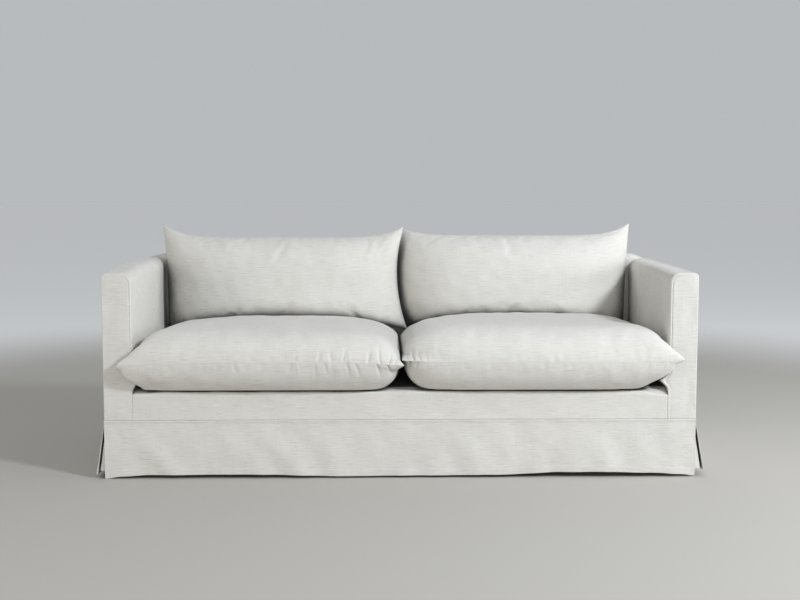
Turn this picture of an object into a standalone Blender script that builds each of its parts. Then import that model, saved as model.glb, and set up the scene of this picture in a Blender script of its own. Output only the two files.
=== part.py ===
"""Floor-length slipcover for a two-seat sofa, with its filled seat and back cushions.

Metres, +Z up. X runs along the sofa and -Y is its front. The cover is drawn with its
own middle at x = y = 0, and one empty then carries the whole set to its place, so that
the origin lies on the floor under the middle of everything.

The cover is hollow: single sheets of cloth, each the shape of one cut piece, that meet
seam to seam. The cushions are filled solids with a knife edge.
"""
import math

import bmesh
import bpy
from mathutils import Vector
from mathutils.bvhtree import BVHTree

# Driving sizes of the cover
COVER_WIDTH = 2.100
COVER_DEPTH = 0.890
ARM_HEIGHT = 0.730
BACK_HEIGHT = 0.755
ARM_WIDTH = 0.102
BACK_THICKNESS = 0.160
DECK_HEIGHT = 0.318
SKIRT_TOP = 0.210

# Cloth
CLOTH = 0.0025
GAP = 0.0004
SEAM_LIP = 0.004
CREASE_ROOM = 0.003

# Rounded edges
ARM_ROUND = 0.038
EDGE_ROUND = 0.013
CORNER_ROUND = EDGE_ROUND + SEAM_LIP + 0.0005
BACK_ROUND = 0.030
BORDER_ROUND = 0.018
FRONT_ROLL = 0.005
ARC_STEPS = 4

# Planes that follow from them
SIDE = COVER_WIDTH / 2
FRONT = -COVER_DEPTH / 2
REAR = COVER_DEPTH / 2
ARM_INNER = SIDE - ARM_WIDTH
TOP_SEAM = SIDE - EDGE_ROUND - SEAM_LIP
PANEL_START = FRONT + FRONT_ROLL + SEAM_LIP / 2 + GAP
BACK_FACE = REAR - BACK_THICKNESS

# How the cloth lies
ARM_SWELL = {"left": 0.014, "right": 0.004}
ARM_SWELL_RUN = 0.300
WING_SLOPE = 0.070
WING_TAB = 0.018
TUCK = 0.010
BORDER_RUN = 0.040
BORDER_DIP = {"left": 0.008, "right": 0.015}
DIP_LENGTH = 0.120
PANEL_WAVE = 0.0018
SLACK_FADE = 0.080
SHEET_ANGLE = 40

# Skirt: x of a point on the front hem, and how far the hem hangs off the floor there
FRONT_HEM = (
    (-1.05, 0.0000),
    (-0.99, 0.0080),
    (-0.89, 0.0135),
    (-0.53, 0.0140),
    (-0.18, 0.0070),
    (0.07, 0.0080),
    (0.36, 0.0105),
    (0.57, 0.0185),
    (0.71, 0.0200),
    (0.89, 0.0155),
    (1.00, 0.0100),
    (1.05, 0.0045),
)
# Slanting folds of the front skirt: x at the seam, x at the hem, half width, depth
FRONT_FOLDS = (
    (-0.97, -0.80, 0.050, 0.006),
    (-0.66, -0.52, 0.070, 0.004),
    (-0.52, -0.36, 0.055, 0.006),
    (-0.30, -0.22, 0.060, 0.004),
    (0.22, 0.30, 0.080, 0.004),
    (0.60, 0.72, 0.090, 0.006),
    (0.92, 0.86, 0.060, 0.003),
)
SIDE_FLARE = {"left": 0.031, "right": 0.034}
SIDE_HEM = {"left": 0.015, "right": 0.024}
SIDE_RIPPLE = 0.003
MIDDLE_FLARE = 0.72
MIDDLE_HEM = 0.45
REAR_FLARE = 0.008
REAR_HEM = 0.008
REAR_RIPPLE = 0.002
UNDERLAY_REACH = 0.110
UNDERLAY_HEM = 0.028
UNDERLAY_ROUND = 0.012
UNDERLAY_SHY = 0.004
UNDERLAY_EASE = 0.035

# Both kinds of cushion: the angle above which an edge stays sharp
CUSHION_ANGLE = 60

# Seat cushions: plan edges, front corners as (x, y, z) and crown. The other rows are numbers
# for the left and right ends: how square the shoulder is above, at the front and at the rear,
# and below; how squarely the two ways meet in a corner; how much filling reaches its tip.
SEAT_FRONT = -0.515
SEAT_REAR = BACK_FACE - 0.006
SEAT_SEAM = 0.424
SEAT_BELLY = 0.150
SEAT_PRESS = 0.030
SEAT_PRESS_START = 0.30
SEAT_PRESS_RUN = 0.35
SEAT_POINT = 0.15
SEAT_CORNER_PULL = 4.5
SEAT_END_FULLNESS = {"above": 6.3, "below": 2.6}
SEAT_SLACK_START = -0.8
SEAT_STEPS = (20, 18)
SEAT_CUSHIONS = {
    "left": {
        "edges": (-0.944, 0.000),
        "corners": ((-0.993, -0.503, 0.411), (0.009, -0.514, 0.413)),
        "crown": 0.109,
        "front": (9.2, 6.0),
        "rear": (3.6, 4.7),
        "below": (8.9, 5.6),
        "corner_above": (2.3, 2.1),
        "corner_below": (5.9, 2.5),
        "tip": (0.85, 0.40),
    },
    "right": {
        "edges": (0.004, 0.944),
        "corners": ((0.003, -0.495, 0.430), (0.993, -0.503, 0.429)),
        "crown": 0.119,
        "front": (6.0, 8.7),
        "rear": (4.0, 5.0),
        "below": (5.4, 3.6),
        "corner_above": (1.5, 2.3),
        "corner_below": (3.9, 6.0),
        "tip": (0.10, 0.85),
    },
}

# Back cushions: x of each side edge at foot, middle and ear, and heights of the top edge.
# A side that is set back has its seam drawn round against the inside back.
BACK_FOOT = 0.150
BACK_LEAN = 0.055
BACK_BOTTOM = 0.490
BACK_BULGE = 0.120
BACK_CORNER_PULL = 6
BACK_FOOT_PULL = 3
BACK_SET = 0.258
BACK_SET_PULL = 3.5
BACK_SIDE_FULLNESS = (3.2, 0.55)
BACK_END_FULLNESS = {"below": (4.5, 0.52), "above": (2.6, 0.52)}
BACK_STEPS = (18, 12)
REST_ROOM = 0.003
SEAT_ROOM = 0.005
BACK_CUSHIONS = {
    "left": {
        "edges": ((-0.939, -0.937, -0.950), (0.034, -0.006, 0.020)),
        "set_back": (True, False),
        "top": 0.826,
        "ears": (0.874, 0.870),
        "feet": (0.440, 0.464),
    },
    "right": {
        "edges": ((0.024, -0.018, 0.026), (0.925, 0.928, 0.940)),
        "set_back": (True, True),
        "top": 0.834,
        "ears": (0.856, 0.881),
        "feet": (0.450, 0.440),
    },
}

LINEN = (0.66, 0.64, 0.58, 1.0)
SIGN = {"left": -1, "right": 1}


def smooth(value):
    """Ease from 0 to 1 as the value does, and hold outside that."""
    value = min(1.0, max(0.0, value))
    return value * value * (3 - 2 * value)


def mix(first, second, share):
    return first + (second - first) * share


def spread(start, stop, steps):
    return [mix(start, stop, step / steps) for step in range(steps + 1)]


def lookup(rows, where):
    """Read a short table of (place, value) rows, eased between them."""
    for (start, low), (stop, high) in zip(rows, rows[1:]):
        if where <= stop:
            return mix(low, high, smooth((where - start) / (stop - start)))
    return rows[-1][1]


def bend(distance, straight, radius, inset=0.0):
    """Follow a straight run, a quarter turn and a run beyond it.

    Returns how far the point has gone ahead and how far to the side. The inset moves
    the whole path towards the inside of the turn.
    """
    turn = (distance - straight) / radius
    if turn <= 0:
        return distance, inset
    if turn < math.pi / 2:
        ahead = straight + (radius - inset) * math.sin(turn)
        return ahead, radius - (radius - inset) * math.cos(turn)
    return straight + radius - inset, radius + distance - straight - radius * math.pi / 2


def bend_stops(straight, radius, beyond, straight_steps, beyond_steps):
    """Distances along a bend, close together where it turns."""
    turn_end = straight + radius * math.pi / 2
    stops = spread(0, straight, straight_steps)
    stops += spread(straight, turn_end, ARC_STEPS)[1:]
    if beyond > 0:
        stops += spread(turn_end, turn_end + beyond, beyond_steps)[1:]
    return stops


def faded(where, start, stop):
    """Let the slack of a panel die out towards its two ends."""
    return smooth((where - start) / SLACK_FADE) * smooth((stop - where) / SLACK_FADE)


def wave(first, second):
    """The slight unevenness of a loose panel, between -1 and 1."""
    return 0.6 * math.sin(9 * first + 2 * second) + 0.4 * math.sin(17 * second - 5 * first + 1)


def linen(name):
    material = bpy.data.materials.new(name + "_linen")
    material.use_nodes = True
    shader = material.node_tree.nodes["Principled BSDF"]
    shader.inputs["Base Color"].default_value = LINEN
    shader.inputs["Roughness"].default_value = 0.92
    shader.inputs["Metallic"].default_value = 0.0
    return material


def finish(name, shape, collection, smooth_angle):
    """Turn a bmesh into a named object with its own linen."""
    mesh = bpy.data.meshes.new(name)
    shape.to_mesh(mesh)
    shape.free()
    mesh.shade_smooth()
    mesh.set_sharp_from_angle(angle=math.radians(smooth_angle))
    mesh.materials.append(linen(name))
    piece = bpy.data.objects.new(name, mesh)
    collection.objects.link(piece)
    return piece


def cloth_piece(name, shape, outward, collection):
    """Turn the open surface's faces outwards and give the cloth its thickness inwards."""
    shape.normal_update()
    if sum(face.normal.dot(outward) * face.calc_area() for face in shape.faces) < 0:
        bmesh.ops.reverse_faces(shape, faces=shape.faces[:])
    piece = finish(name, shape, collection, SHEET_ANGLE)
    cloth = piece.modifiers.new("cloth", "SOLIDIFY")
    cloth.thickness = CLOTH
    cloth.offset = -1
    cloth.use_even_offset = True
    cloth.use_quality_normals = True
    return piece


def sheet(name, across, along, place, outward, collection, keep=None):
    """Cut one piece of cloth.

    place() gives the outer face for each pair of values from the two lists, and keep()
    says which cells of the grid belong to the cut.
    """
    cells = (len(across) - 1, len(along) - 1)
    shape = bmesh.new()
    bmesh.ops.create_grid(shape, x_segments=cells[0], y_segments=cells[1], size=0.5)
    if keep:
        spare = []
        for face in shape.faces:
            centre = face.calc_center_median()
            column = int((centre.x + 0.5) * cells[0])
            row = int((centre.y + 0.5) * cells[1])
            if not keep(across[column], across[column + 1], row):
                spare.append(face)
        bmesh.ops.delete(shape, geom=spare, context="FACES")
    for vertex in shape.verts:
        column = round((vertex.co.x + 0.5) * cells[0])
        row = round((vertex.co.y + 0.5) * cells[1])
        vertex.co = place(across[column], along[row])
    return cloth_piece(name, shape, outward, collection)


def arm_swell(side, y):
    """How far an arm's padding lifts its top, between the front and the rear seam."""
    risen = smooth((y - FRONT) / ARM_SWELL_RUN)
    return ARM_SWELL[side] * risen * smooth((REAR - y) / BACK_THICKNESS)


def back_top(x):
    """Height of the back's top: it slopes down to the arms at both ends."""
    from_end = TOP_SEAM - abs(x)
    return mix(ARM_HEIGHT, BACK_HEIGHT, smooth(from_end / WING_SLOPE))


def inside_arm(side, collection):
    """Inside arm and arm top, cut in one: across the top, over the edge and down."""
    outer = TOP_SEAM - GAP
    run = outer - ARM_INNER - ARM_ROUND
    drop = ARM_HEIGHT - ARM_ROUND - DECK_HEIGHT + TUCK
    foot = ARM_HEIGHT - DECK_HEIGHT

    def place(distance, y):
        inwards, down = bend(distance, run, ARM_ROUND)
        swell = arm_swell(side, y) * (1 - down / ARM_HEIGHT)
        slack = PANEL_WAVE * wave(y, down) * faded(down, 0, foot)
        slack *= faded(y, PANEL_START, BACK_FACE)
        x = outer - inwards + min(0.0, slack)
        return Vector((SIGN[side] * x, y, ARM_HEIGHT + swell - down))

    stops = bend_stops(run, ARM_ROUND, drop, 2, 6)
    stations = spread(PANEL_START, BACK_FACE - GAP, 9)
    outward = Vector((-SIGN[side], 0, 1))
    return sheet("inside_arm_" + side, stops, stations, place, outward, collection)


def outside_arm(side, collection):
    """Outside arm: up the side, rolled over the top edge and round the rear corner."""
    length = REAR - CORNER_ROUND - PANEL_START
    rise = ARM_HEIGHT - EDGE_ROUND - SKIRT_TOP - GAP

    def place(distance, climb):
        up, inset = bend(climb, rise, EDGE_ROUND)
        ahead, inwards = bend(distance, length, CORNER_ROUND, inset)
        y = PANEL_START + ahead
        swell = arm_swell(side, y) * up / (rise + EDGE_ROUND)
        slack = PANEL_WAVE * (0.5 + 0.5 * wave(y, up)) * math.sin(math.pi * min(1, up / rise))
        slack *= faded(distance, 0, length)
        x = SIDE - inwards - slack
        return Vector((SIGN[side] * x, y, SKIRT_TOP + GAP + up + swell))

    stops = bend_stops(length, CORNER_ROUND, SEAM_LIP, 6, 1)
    climbs = bend_stops(rise, EDGE_ROUND, SEAM_LIP, 4, 1)
    outward = Vector((SIGN[side], 0, 0))
    return sheet("outside_arm_" + side, stops, climbs, place, outward, collection)


def arm_outline(side, inset):
    """Outline of an arm's front, moved inwards: up the inner edge, over and down."""
    low = SKIRT_TOP + GAP + inset
    points = [(ARM_INNER + inset, low)]
    rounds = ((ARM_INNER + ARM_ROUND, ARM_ROUND, 180), (SIDE - EDGE_ROUND, EDGE_ROUND, 90))
    for centre, radius, start in rounds:
        for angle in spread(start, start - 90, 2 * ARC_STEPS):
            x = centre + (radius - inset) * math.cos(math.radians(angle))
            z = ARM_HEIGHT - radius + (radius - inset) * math.sin(math.radians(angle))
            points.append((x, z))
    points.append((SIDE - inset, low))
    return [(SIGN[side] * x, z) for x, z in points]


def arm_front(side, collection):
    """Front panel of an arm, whose rim rolls back to the seam."""
    shape = bmesh.new()
    rings = []
    for angle in (None, 0, 30, 60, 90):
        turn = math.radians(angle or 0)
        inset = FRONT_ROLL * (1 - math.cos(turn))
        y = FRONT + FRONT_ROLL * (1 - math.sin(turn))
        if angle is None:
            y += SEAM_LIP / 2
        rings.append([shape.verts.new((x, y, z)) for x, z in arm_outline(side, inset)])
    for outer, inner in zip(rings, rings[1:]):
        for index in range(len(outer)):
            quad = (outer[index - 1], outer[index], inner[index], inner[index - 1])
            shape.faces.new(quad)
    shape.faces.new(rings[-1])
    bmesh.ops.recalc_face_normals(shape, faces=shape.faces[:])
    return cloth_piece("arm_front_" + side, shape, Vector((0, -1, 0)), collection)


def front_border(collection):
    """Band under the seat cushions, rolled over onto the deck and low at its ends."""
    rise = DECK_HEIGHT - BORDER_ROUND - SKIRT_TOP - GAP
    end = ARM_INNER - GAP

    def place(x, climb):
        up, back = bend(climb, rise, BORDER_ROUND)
        depth = BORDER_DIP["right" if x > 0 else "left"]
        dip = depth * smooth((abs(x) - end + DIP_LENGTH) / DIP_LENGTH)
        dip *= up / (rise + BORDER_ROUND) * (1 - smooth(back / (BORDER_ROUND + BORDER_RUN / 2)))
        slack = PANEL_WAVE * (1 + wave(x, up)) * faded(x, -end, end)
        slack *= math.sin(math.pi * min(1, up / (rise + BORDER_ROUND)))
        return Vector((x, FRONT + back + slack, SKIRT_TOP + GAP + up - dip))

    stations = spread(-end, -end + DIP_LENGTH, 4)
    stations += spread(-end + DIP_LENGTH, end - DIP_LENGTH, 14)[1:]
    stations += spread(end - DIP_LENGTH, end, 4)[1:]
    climbs = bend_stops(rise, BORDER_ROUND, BORDER_RUN, 3, 2)
    return sheet("front_border", stations, climbs, place, Vector((0, -1, 1)), collection)


def deck(collection):
    """Flat cloth under the seat cushions."""
    end = ARM_INNER - GAP
    start = FRONT + BORDER_ROUND + BORDER_RUN + GAP
    stations = spread(-end, end, 6)
    rows = spread(start, BACK_FACE - GAP, 3)

    def place(x, y):
        return Vector((x, y, DECK_HEIGHT))

    return sheet("deck", stations, rows, place, Vector((0, 0, 1)), collection)


def inside_back(collection):
    """Inside back and back top, cut in one, with a wing and a short tab behind each arm's end."""
    rear = REAR - EDGE_ROUND - SEAM_LIP - GAP
    run = rear - BACK_FACE - BACK_ROUND
    drop = BACK_HEIGHT - BACK_ROUND - DECK_HEIGHT + TUCK
    top_rows = 3
    tab_rows = top_rows + ARC_STEPS + 1
    arc = BACK_ROUND * math.pi / 2
    stops = sorted(bend_stops(run, BACK_ROUND, drop, top_rows, 5) + [run + arc + WING_TAB])
    neck = ARM_INNER + CLOTH
    end = TOP_SEAM - GAP
    wing = spread(neck, end, 4)

    def keep(left, right, row):
        aside = max(abs(left), abs(right)) - GAP / 2
        return row < tab_rows - 2 or aside <= neck or row < tab_rows and aside <= wing[2]

    def place(x, distance):
        forwards, down = bend(distance, run, BACK_ROUND)
        z = BACK_HEIGHT - down
        if z > ARM_HEIGHT:
            z = mix(ARM_HEIGHT, z, (back_top(x) - ARM_HEIGHT) / (BACK_HEIGHT - ARM_HEIGHT))
        slack = PANEL_WAVE * (1 + wave(x, z)) * smooth(down / SLACK_FADE) * faded(x, -neck, neck)
        over_arm = 1 - smooth((TOP_SEAM - abs(x)) / WING_SLOPE)
        swell = over_arm * arm_swell("right" if x > 0 else "left", rear - forwards)
        return Vector((x, rear - forwards + slack, z + swell))

    stations = spread(-end, -neck, 4) + spread(-neck, neck, 12)[1:] + wing[1:]
    return sheet("inside_back", stations, stops, place, Vector((0, -1, 1)), collection, keep)


def outside_back(collection):
    """Outside back, rolled over the top edge to meet the back top."""
    end = SIDE - CORNER_ROUND - SEAM_LIP - GAP
    rise = BACK_HEIGHT - EDGE_ROUND - SKIRT_TOP - GAP

    def place(x, climb):
        up, forwards = bend(climb, rise, EDGE_ROUND)
        lower = (BACK_HEIGHT - back_top(x)) * up / (rise + EDGE_ROUND)
        slack = PANEL_WAVE * (1 + wave(x, up)) * faded(x, -end, end)
        slack *= math.sin(math.pi * min(1, up / rise))
        return Vector((x, REAR - forwards - slack, SKIRT_TOP + GAP + up - lower))

    stations = spread(-end, -end + WING_SLOPE, 3)
    stations += spread(-end + WING_SLOPE, end - WING_SLOPE, 10)[1:]
    stations += spread(end - WING_SLOPE, end, 3)[1:]
    climbs = bend_stops(rise, EDGE_ROUND, SEAM_LIP, 4, 1)
    return sheet("outside_back", stations, climbs, place, Vector((0, 1, 0)), collection)


def front_fold(x, fall):
    """How far the front skirt's folds stand forward, from the seam down to the hem."""
    stand = 0.0
    for at_seam, at_hem, half_width, depth in FRONT_FOLDS:
        off = (x - mix(at_seam, at_hem, fall)) / half_width
        stand += depth * math.exp(-off * off)
    return stand * smooth(fall * 1.3) * faded(x, -SIDE, SIDE)


def skirt_front(collection):
    """Front skirt, whose hem only touches the floor at its left end."""

    def place(x, fall):
        z = mix(SKIRT_TOP - GAP, lookup(FRONT_HEM, x), fall)
        return Vector((x, FRONT - front_fold(x, fall), z))

    stations = spread(-SIDE, SIDE, 42)
    return sheet("skirt_front", stations, spread(0, 1, 4), place, Vector((0, -1, 0)), collection)


def side_flare(side, y, fall):
    """How far a side skirt stands out, most at its two split ends."""
    share = (y - FRONT) / COVER_DEPTH
    return SIDE_FLARE[side] * fall * mix(MIDDLE_FLARE, 1, abs(2 * share - 1) ** 1.5)


def skirt_side(side, collection):
    """Side skirt, split from the front and back ones and flared towards the floor."""
    start = FRONT + CLOTH + CREASE_ROOM
    stop = REAR - CLOTH - CREASE_ROOM

    def place(y, fall):
        share = (y - start) / (stop - start)
        lift = SIDE_HEM[side] * mix(MIDDLE_HEM, 1, (2 * share - 1) ** 2)
        z = mix(SKIRT_TOP - GAP, lift, fall)
        ripple = SIDE_RIPPLE * fall * math.sin(4 * math.pi * share) * math.sin(math.pi * share)
        x = SIDE + side_flare(side, y, fall) + ripple
        return Vector((SIGN[side] * x, y, z))

    outward = Vector((SIGN[side], 0, 0))
    stations = spread(start, stop, 16)
    return sheet("skirt_" + side, stations, spread(0, 1, 4), place, outward, collection)


def skirt_back(collection):
    """Back skirt, almost straight."""

    def place(x, fall):
        lift = REAR_HEM * (0.6 + 0.4 * math.sin(5 * x))
        ripple = REAR_RIPPLE * fall * math.sin(11 * x)
        z = mix(SKIRT_TOP - GAP, lift, fall)
        return Vector((x, REAR + REAR_FLARE * fall + ripple, z))

    stations = spread(-SIDE, SIDE, 24)
    return sheet("skirt_back", stations, spread(0, 1, 3), place, Vector((0, 1, 0)), collection)


def underlay(side, end, collection):
    """Flap behind a split corner: along the side skirt, round the corner, along the end."""
    way = -1 if end == "front" else 1
    radius = UNDERLAY_ROUND

    def place(distance, fall):
        ahead, inwards = bend(distance, UNDERLAY_REACH - radius, radius)
        room = GAP + CREASE_ROOM * smooth(fall * 3)
        reach = REAR - CLOTH - room - UNDERLAY_REACH
        y = way * (reach + ahead)
        stand = side_flare(side, y, fall) - UNDERLAY_SHY * fall
        stand *= 1 - smooth(inwards / UNDERLAY_EASE)
        x = SIDE - CLOTH - room + stand - inwards
        z = mix(SKIRT_TOP - GAP, UNDERLAY_HEM, fall)
        return Vector((SIGN[side] * x, y, z))

    stops = bend_stops(UNDERLAY_REACH - radius, radius, UNDERLAY_REACH - radius, 2, 3)
    outward = Vector((SIGN[side], way, 0))
    name = "underlay_" + end + "_" + side
    return sheet(name, stops, spread(0, 1, 4), place, outward, collection)


def cushion_shell(steps, place):
    """Two covers joined at a knife edge; place() gets -1..1 twice and the face's sign."""
    shape = bmesh.new()
    bmesh.ops.create_grid(shape, x_segments=steps[0], y_segments=steps[1], size=1.0)
    upper = shape.verts[:]
    everything = shape.verts[:] + shape.edges[:] + shape.faces[:]
    copied = bmesh.ops.duplicate(shape, geom=everything)["geom"]
    under = [item for item in copied if isinstance(item, bmesh.types.BMVert)]
    under_faces = [item for item in copied if isinstance(item, bmesh.types.BMFace)]
    bmesh.ops.reverse_faces(shape, faces=under_faces)
    for verts, face in ((upper, 1), (under, -1)):
        for vertex in verts:
            across = math.sin(vertex.co.x * math.pi / 2)
            along = math.sin(vertex.co.y * math.pi / 2)
            vertex.co = place(across, along, face)
    bmesh.ops.remove_doubles(shape, verts=shape.verts[:], dist=1e-5)
    return shape


def rounded(nearness, fullness):
    """Fullness of a cushion from its middle, 1, to its seam, 0."""
    flatness, edge = fullness
    return (1 - nearness ** flatness) ** edge


def filled(aside, ahead, corner_fill, tip_fill):
    """Fullness from both ways out of the middle; the corner fill is how square they meet.

    The tip fill is how much of the filling reaches into the very corner.
    """
    spent = (aside ** corner_fill + ahead ** corner_fill) ** (1 / corner_fill)
    tip = tip_fill * (1 - aside) * (1 - ahead)
    return math.sqrt(max(tip, 1 - spent))


def seat_cushion(side, collection):
    """Seat cushion: flat below, crowned above, pointed at its front corners."""
    row = SEAT_CUSHIONS[side]

    def place(across, along, face):
        end = 0 if across < 0 else 1
        corner = row["corners"][end]
        nearness = abs(across)
        point = smooth(1 - (1 + along) / SEAT_POINT)
        left = mix(row["edges"][0], row["corners"][0][0], point)
        right = mix(row["edges"][1], row["corners"][1][0], point)
        pull = nearness ** SEAT_CORNER_PULL
        front = mix(SEAT_FRONT, corner[1], pull)
        x = mix(left, right, (across + 1) / 2)
        y = mix(front, SEAT_REAR, (along + 1) / 2)
        seam = mix(SEAT_SEAM, corner[2], pull * smooth(-along))
        if face < 0:
            ahead = abs(along) ** SEAT_END_FULLNESS["below"]
            aside = nearness ** row["below"][end]
            full = filled(aside, ahead, row["corner_below"][end], row["tip"][end])
            return Vector((x, y, max(DECK_HEIGHT + GAP, seam - SEAT_BELLY * full)))
        shoulder = mix(row["front"][end], row["rear"][end], smooth(along - SEAT_SLACK_START))
        ahead = abs(along) ** SEAT_END_FULLNESS["above"]
        aside = nearness ** shoulder
        full = filled(aside, ahead, row["corner_above"][end], row["tip"][end])
        pressed = SEAT_PRESS * smooth((along - SEAT_PRESS_START) / SEAT_PRESS_RUN)
        return Vector((x, y, seam + (row["crown"] - pressed) * full))

    shape = cushion_shell(SEAT_STEPS, place)
    return finish("seat_cushion_" + side, shape, collection, CUSHION_ANGLE)


def back_cushion(side, seats, collection):
    """Back cushion: stands on the seat cushions, leans back, and its top corners rise."""
    row = BACK_CUSHIONS[side]

    def edge_x(foot, middle, ear, along):
        straight = mix(foot, ear, (along + 1) / 2)
        return straight + (middle - (foot + ear) / 2) * (1 - along * along)

    def lowest(x, y):
        heights = [seat.ray_cast(Vector((x, y, 1)), Vector((0, 0, -1)))[0] for seat in seats]
        return max((hit.z for hit in heights if hit), default=DECK_HEIGHT)

    def place(across, along, face):
        end = 0 if across < 0 else 1
        nearness = abs(across)
        left, right = [edge_x(*edge, along) for edge in row["edges"]]
        x = mix(left, right, (across + 1) / 2)
        pull = nearness ** BACK_CORNER_PULL
        top = mix(row["top"], row["ears"][end], pull)
        bottom = mix(BACK_BOTTOM, row["feet"][end], nearness ** BACK_FOOT_PULL)
        z = mix(bottom, top, (along + 1) / 2)
        full = rounded(nearness, BACK_SIDE_FULLNESS)
        full *= rounded(abs(along), BACK_END_FULLNESS["below" if along < 0 else "above"])
        middle = BACK_FOOT + BACK_LEAN * (along + 1) / 2
        if row["set_back"][end]:
            middle = mix(middle, BACK_SET, nearness ** BACK_SET_PULL)
        y = min(middle - face * BACK_BULGE * full, BACK_FACE - REST_ROOM)
        return Vector((x, y, max(z, lowest(x, y) + SEAT_ROOM)))

    shape = cushion_shell(BACK_STEPS, place)
    return finish("back_cushion_" + side, shape, collection, CUSHION_ANGLE)


def clear_scene():
    for piece in list(bpy.data.objects):
        bpy.data.objects.remove(piece, do_unlink=True)


def stand_on_origin(pieces, collection):
    """Carry every piece by one empty, so that their common box stands on the origin."""
    bpy.context.view_layer.update()
    graph = bpy.context.evaluated_depsgraph_get()
    corners = []
    for piece in pieces:
        corners += [Vector(corner) for corner in piece.evaluated_get(graph).bound_box]
    low = Vector([min(corner[axis] for corner in corners) for axis in range(3)])
    high = Vector([max(corner[axis] for corner in corners) for axis in range(3)])
    carrier = bpy.data.objects.new("slipcover_carrier", None)
    collection.objects.link(carrier)
    for piece in pieces:
        piece.parent = carrier
    carrier.location = Vector((-(low.x + high.x) / 2, -(low.y + high.y) / 2, -low.z))


def main():
    clear_scene()
    collection = bpy.data.collections.new("sofa_slipcover")
    bpy.context.scene.collection.children.link(collection)
    pieces = [front_border(collection), deck(collection)]
    pieces += [inside_back(collection), outside_back(collection)]
    pieces += [skirt_front(collection), skirt_back(collection)]
    seats = []
    for side in ("left", "right"):
        pieces += [inside_arm(side, collection), outside_arm(side, collection)]
        pieces += [arm_front(side, collection), skirt_side(side, collection)]
        pieces += [underlay(side, end, collection) for end in ("front", "rear")]
        seats.append(seat_cushion(side, collection))
    bpy.context.view_layer.update()
    graph = bpy.context.evaluated_depsgraph_get()
    trees = [BVHTree.FromObject(seat, graph) for seat in seats]
    pieces += seats
    pieces += [back_cushion(side, trees, collection) for side in ("left", "right")]
    stand_on_origin(pieces, collection)


main()
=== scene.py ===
import math

import bpy
import numpy as np
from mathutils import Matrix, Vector
from mathutils.bvhtree import BVHTree


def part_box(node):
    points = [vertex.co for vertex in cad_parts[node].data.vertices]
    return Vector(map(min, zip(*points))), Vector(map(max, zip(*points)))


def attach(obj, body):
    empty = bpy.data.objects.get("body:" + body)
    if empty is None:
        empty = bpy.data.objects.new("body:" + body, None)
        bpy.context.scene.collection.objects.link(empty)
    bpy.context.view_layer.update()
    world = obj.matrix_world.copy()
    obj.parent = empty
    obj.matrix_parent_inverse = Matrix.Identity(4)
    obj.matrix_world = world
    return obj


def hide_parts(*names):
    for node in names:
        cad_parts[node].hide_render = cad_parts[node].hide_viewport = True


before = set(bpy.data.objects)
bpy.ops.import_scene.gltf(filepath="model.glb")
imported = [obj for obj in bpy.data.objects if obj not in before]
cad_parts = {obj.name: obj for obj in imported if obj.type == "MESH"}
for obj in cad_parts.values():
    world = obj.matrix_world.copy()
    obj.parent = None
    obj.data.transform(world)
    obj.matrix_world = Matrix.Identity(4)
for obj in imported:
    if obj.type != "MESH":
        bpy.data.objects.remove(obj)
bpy.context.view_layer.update()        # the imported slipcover, which the cloth below is fitted to

sides = {"left": -1, "right": 1}
armBox = {side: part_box("arm_front_" + side) for side in sides}
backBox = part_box("outside_back")
middleX = (armBox["left"][0].x + armBox["right"][1].x) / 2
middleY = (armBox["left"][0].y + backBox[1].y) / 2

# the cover's sizes, read off the frame, about the middle of the cover
cover = {
    "halfWidth": (armBox["right"][1].x - armBox["left"][0].x) / 2,
    "halfDepth": (backBox[1].y - armBox["left"][0].y) / 2,
    "armInner": (armBox["right"][0].x - armBox["left"][1].x) / 2,
    "armHeight": armBox["left"][1].z,
    "backHeight": backBox[1].z,
    "backFace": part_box("inside_back")[0].y - middleY,
    "deckHeight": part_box("deck")[1].z,
    "skirtTop": (armBox["left"][0].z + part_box("skirt_front")[1].z) / 2,
}

# what is the same on every sheet of the cover, in metres
cloth = {
    "thickness": 0.0022,
    "gap": 0.0004,
    "lip": 0.004,
    "edgeRound": 0.017,
    "cornerRoom": 0.0005,
    "panelRoom": 0.005,        # between the arm front's face and the seam behind its lip
    "armSwell": {"left": 0.014, "right": 0.004},
    "swellRun": 0.300,
    "wingSlope": 0.070,
    "wingTab": 0.018,
    "slack": 0.0018,
    "slackFade": 0.080,
    "weaveShift": 0.37,        # times a piece's seed, so that no two pieces show the same slubs
}
cornerRound = cloth["edgeRound"] + cloth["lip"] + cloth["cornerRoom"]
topSeam = cover["halfWidth"] - cloth["edgeRound"] - cloth["lip"]
front = -cover["halfDepth"]
rear = cover["halfDepth"]
panelStart = front + cloth["panelRoom"] + cloth["lip"] / 2 + cloth["gap"]


# sums that every piece uses
def ease(share):
    share = np.clip(share, 0.0, 1.0)
    return share * share * (3 - 2 * share)


def between(first, second, share):
    return first + (second - first) * share


def lookUp(rows, where):
    # eased reading of a short table of (place, value)
    for (start, low), (stop, high) in zip(rows, rows[1:]):
        if where <= stop:
            return between(low, high, float(ease((where - start) / (stop - start))))
    return rows[-1][1]


def aroundBend(distance, straight, radius, inset=0.0):
    # a straight run, a quarter turn and a run beyond: (ahead, aside)
    turn = (distance - straight) / radius
    if turn <= 0:
        return distance, inset
    if turn < math.pi / 2:
        ahead = straight + (radius - inset) * math.sin(turn)
        return ahead, radius - (radius - inset) * math.cos(turn)
    return straight + radius - inset, radius + distance - straight - radius * math.pi / 2


def slackWave(first, second):
    # the same slow unevenness as the solids have
    return 0.6 * math.sin(9 * first + 2 * second) + 0.4 * math.sin(17 * second - 5 * first + 1)


def faded(where, start, stop):
    fade = cloth["slackFade"]
    return float(ease((where - start) / fade) * ease((stop - where) / fade))


waves = {"count": 7, "paces": (0.6, 1.5), "level": 3.5}


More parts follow.
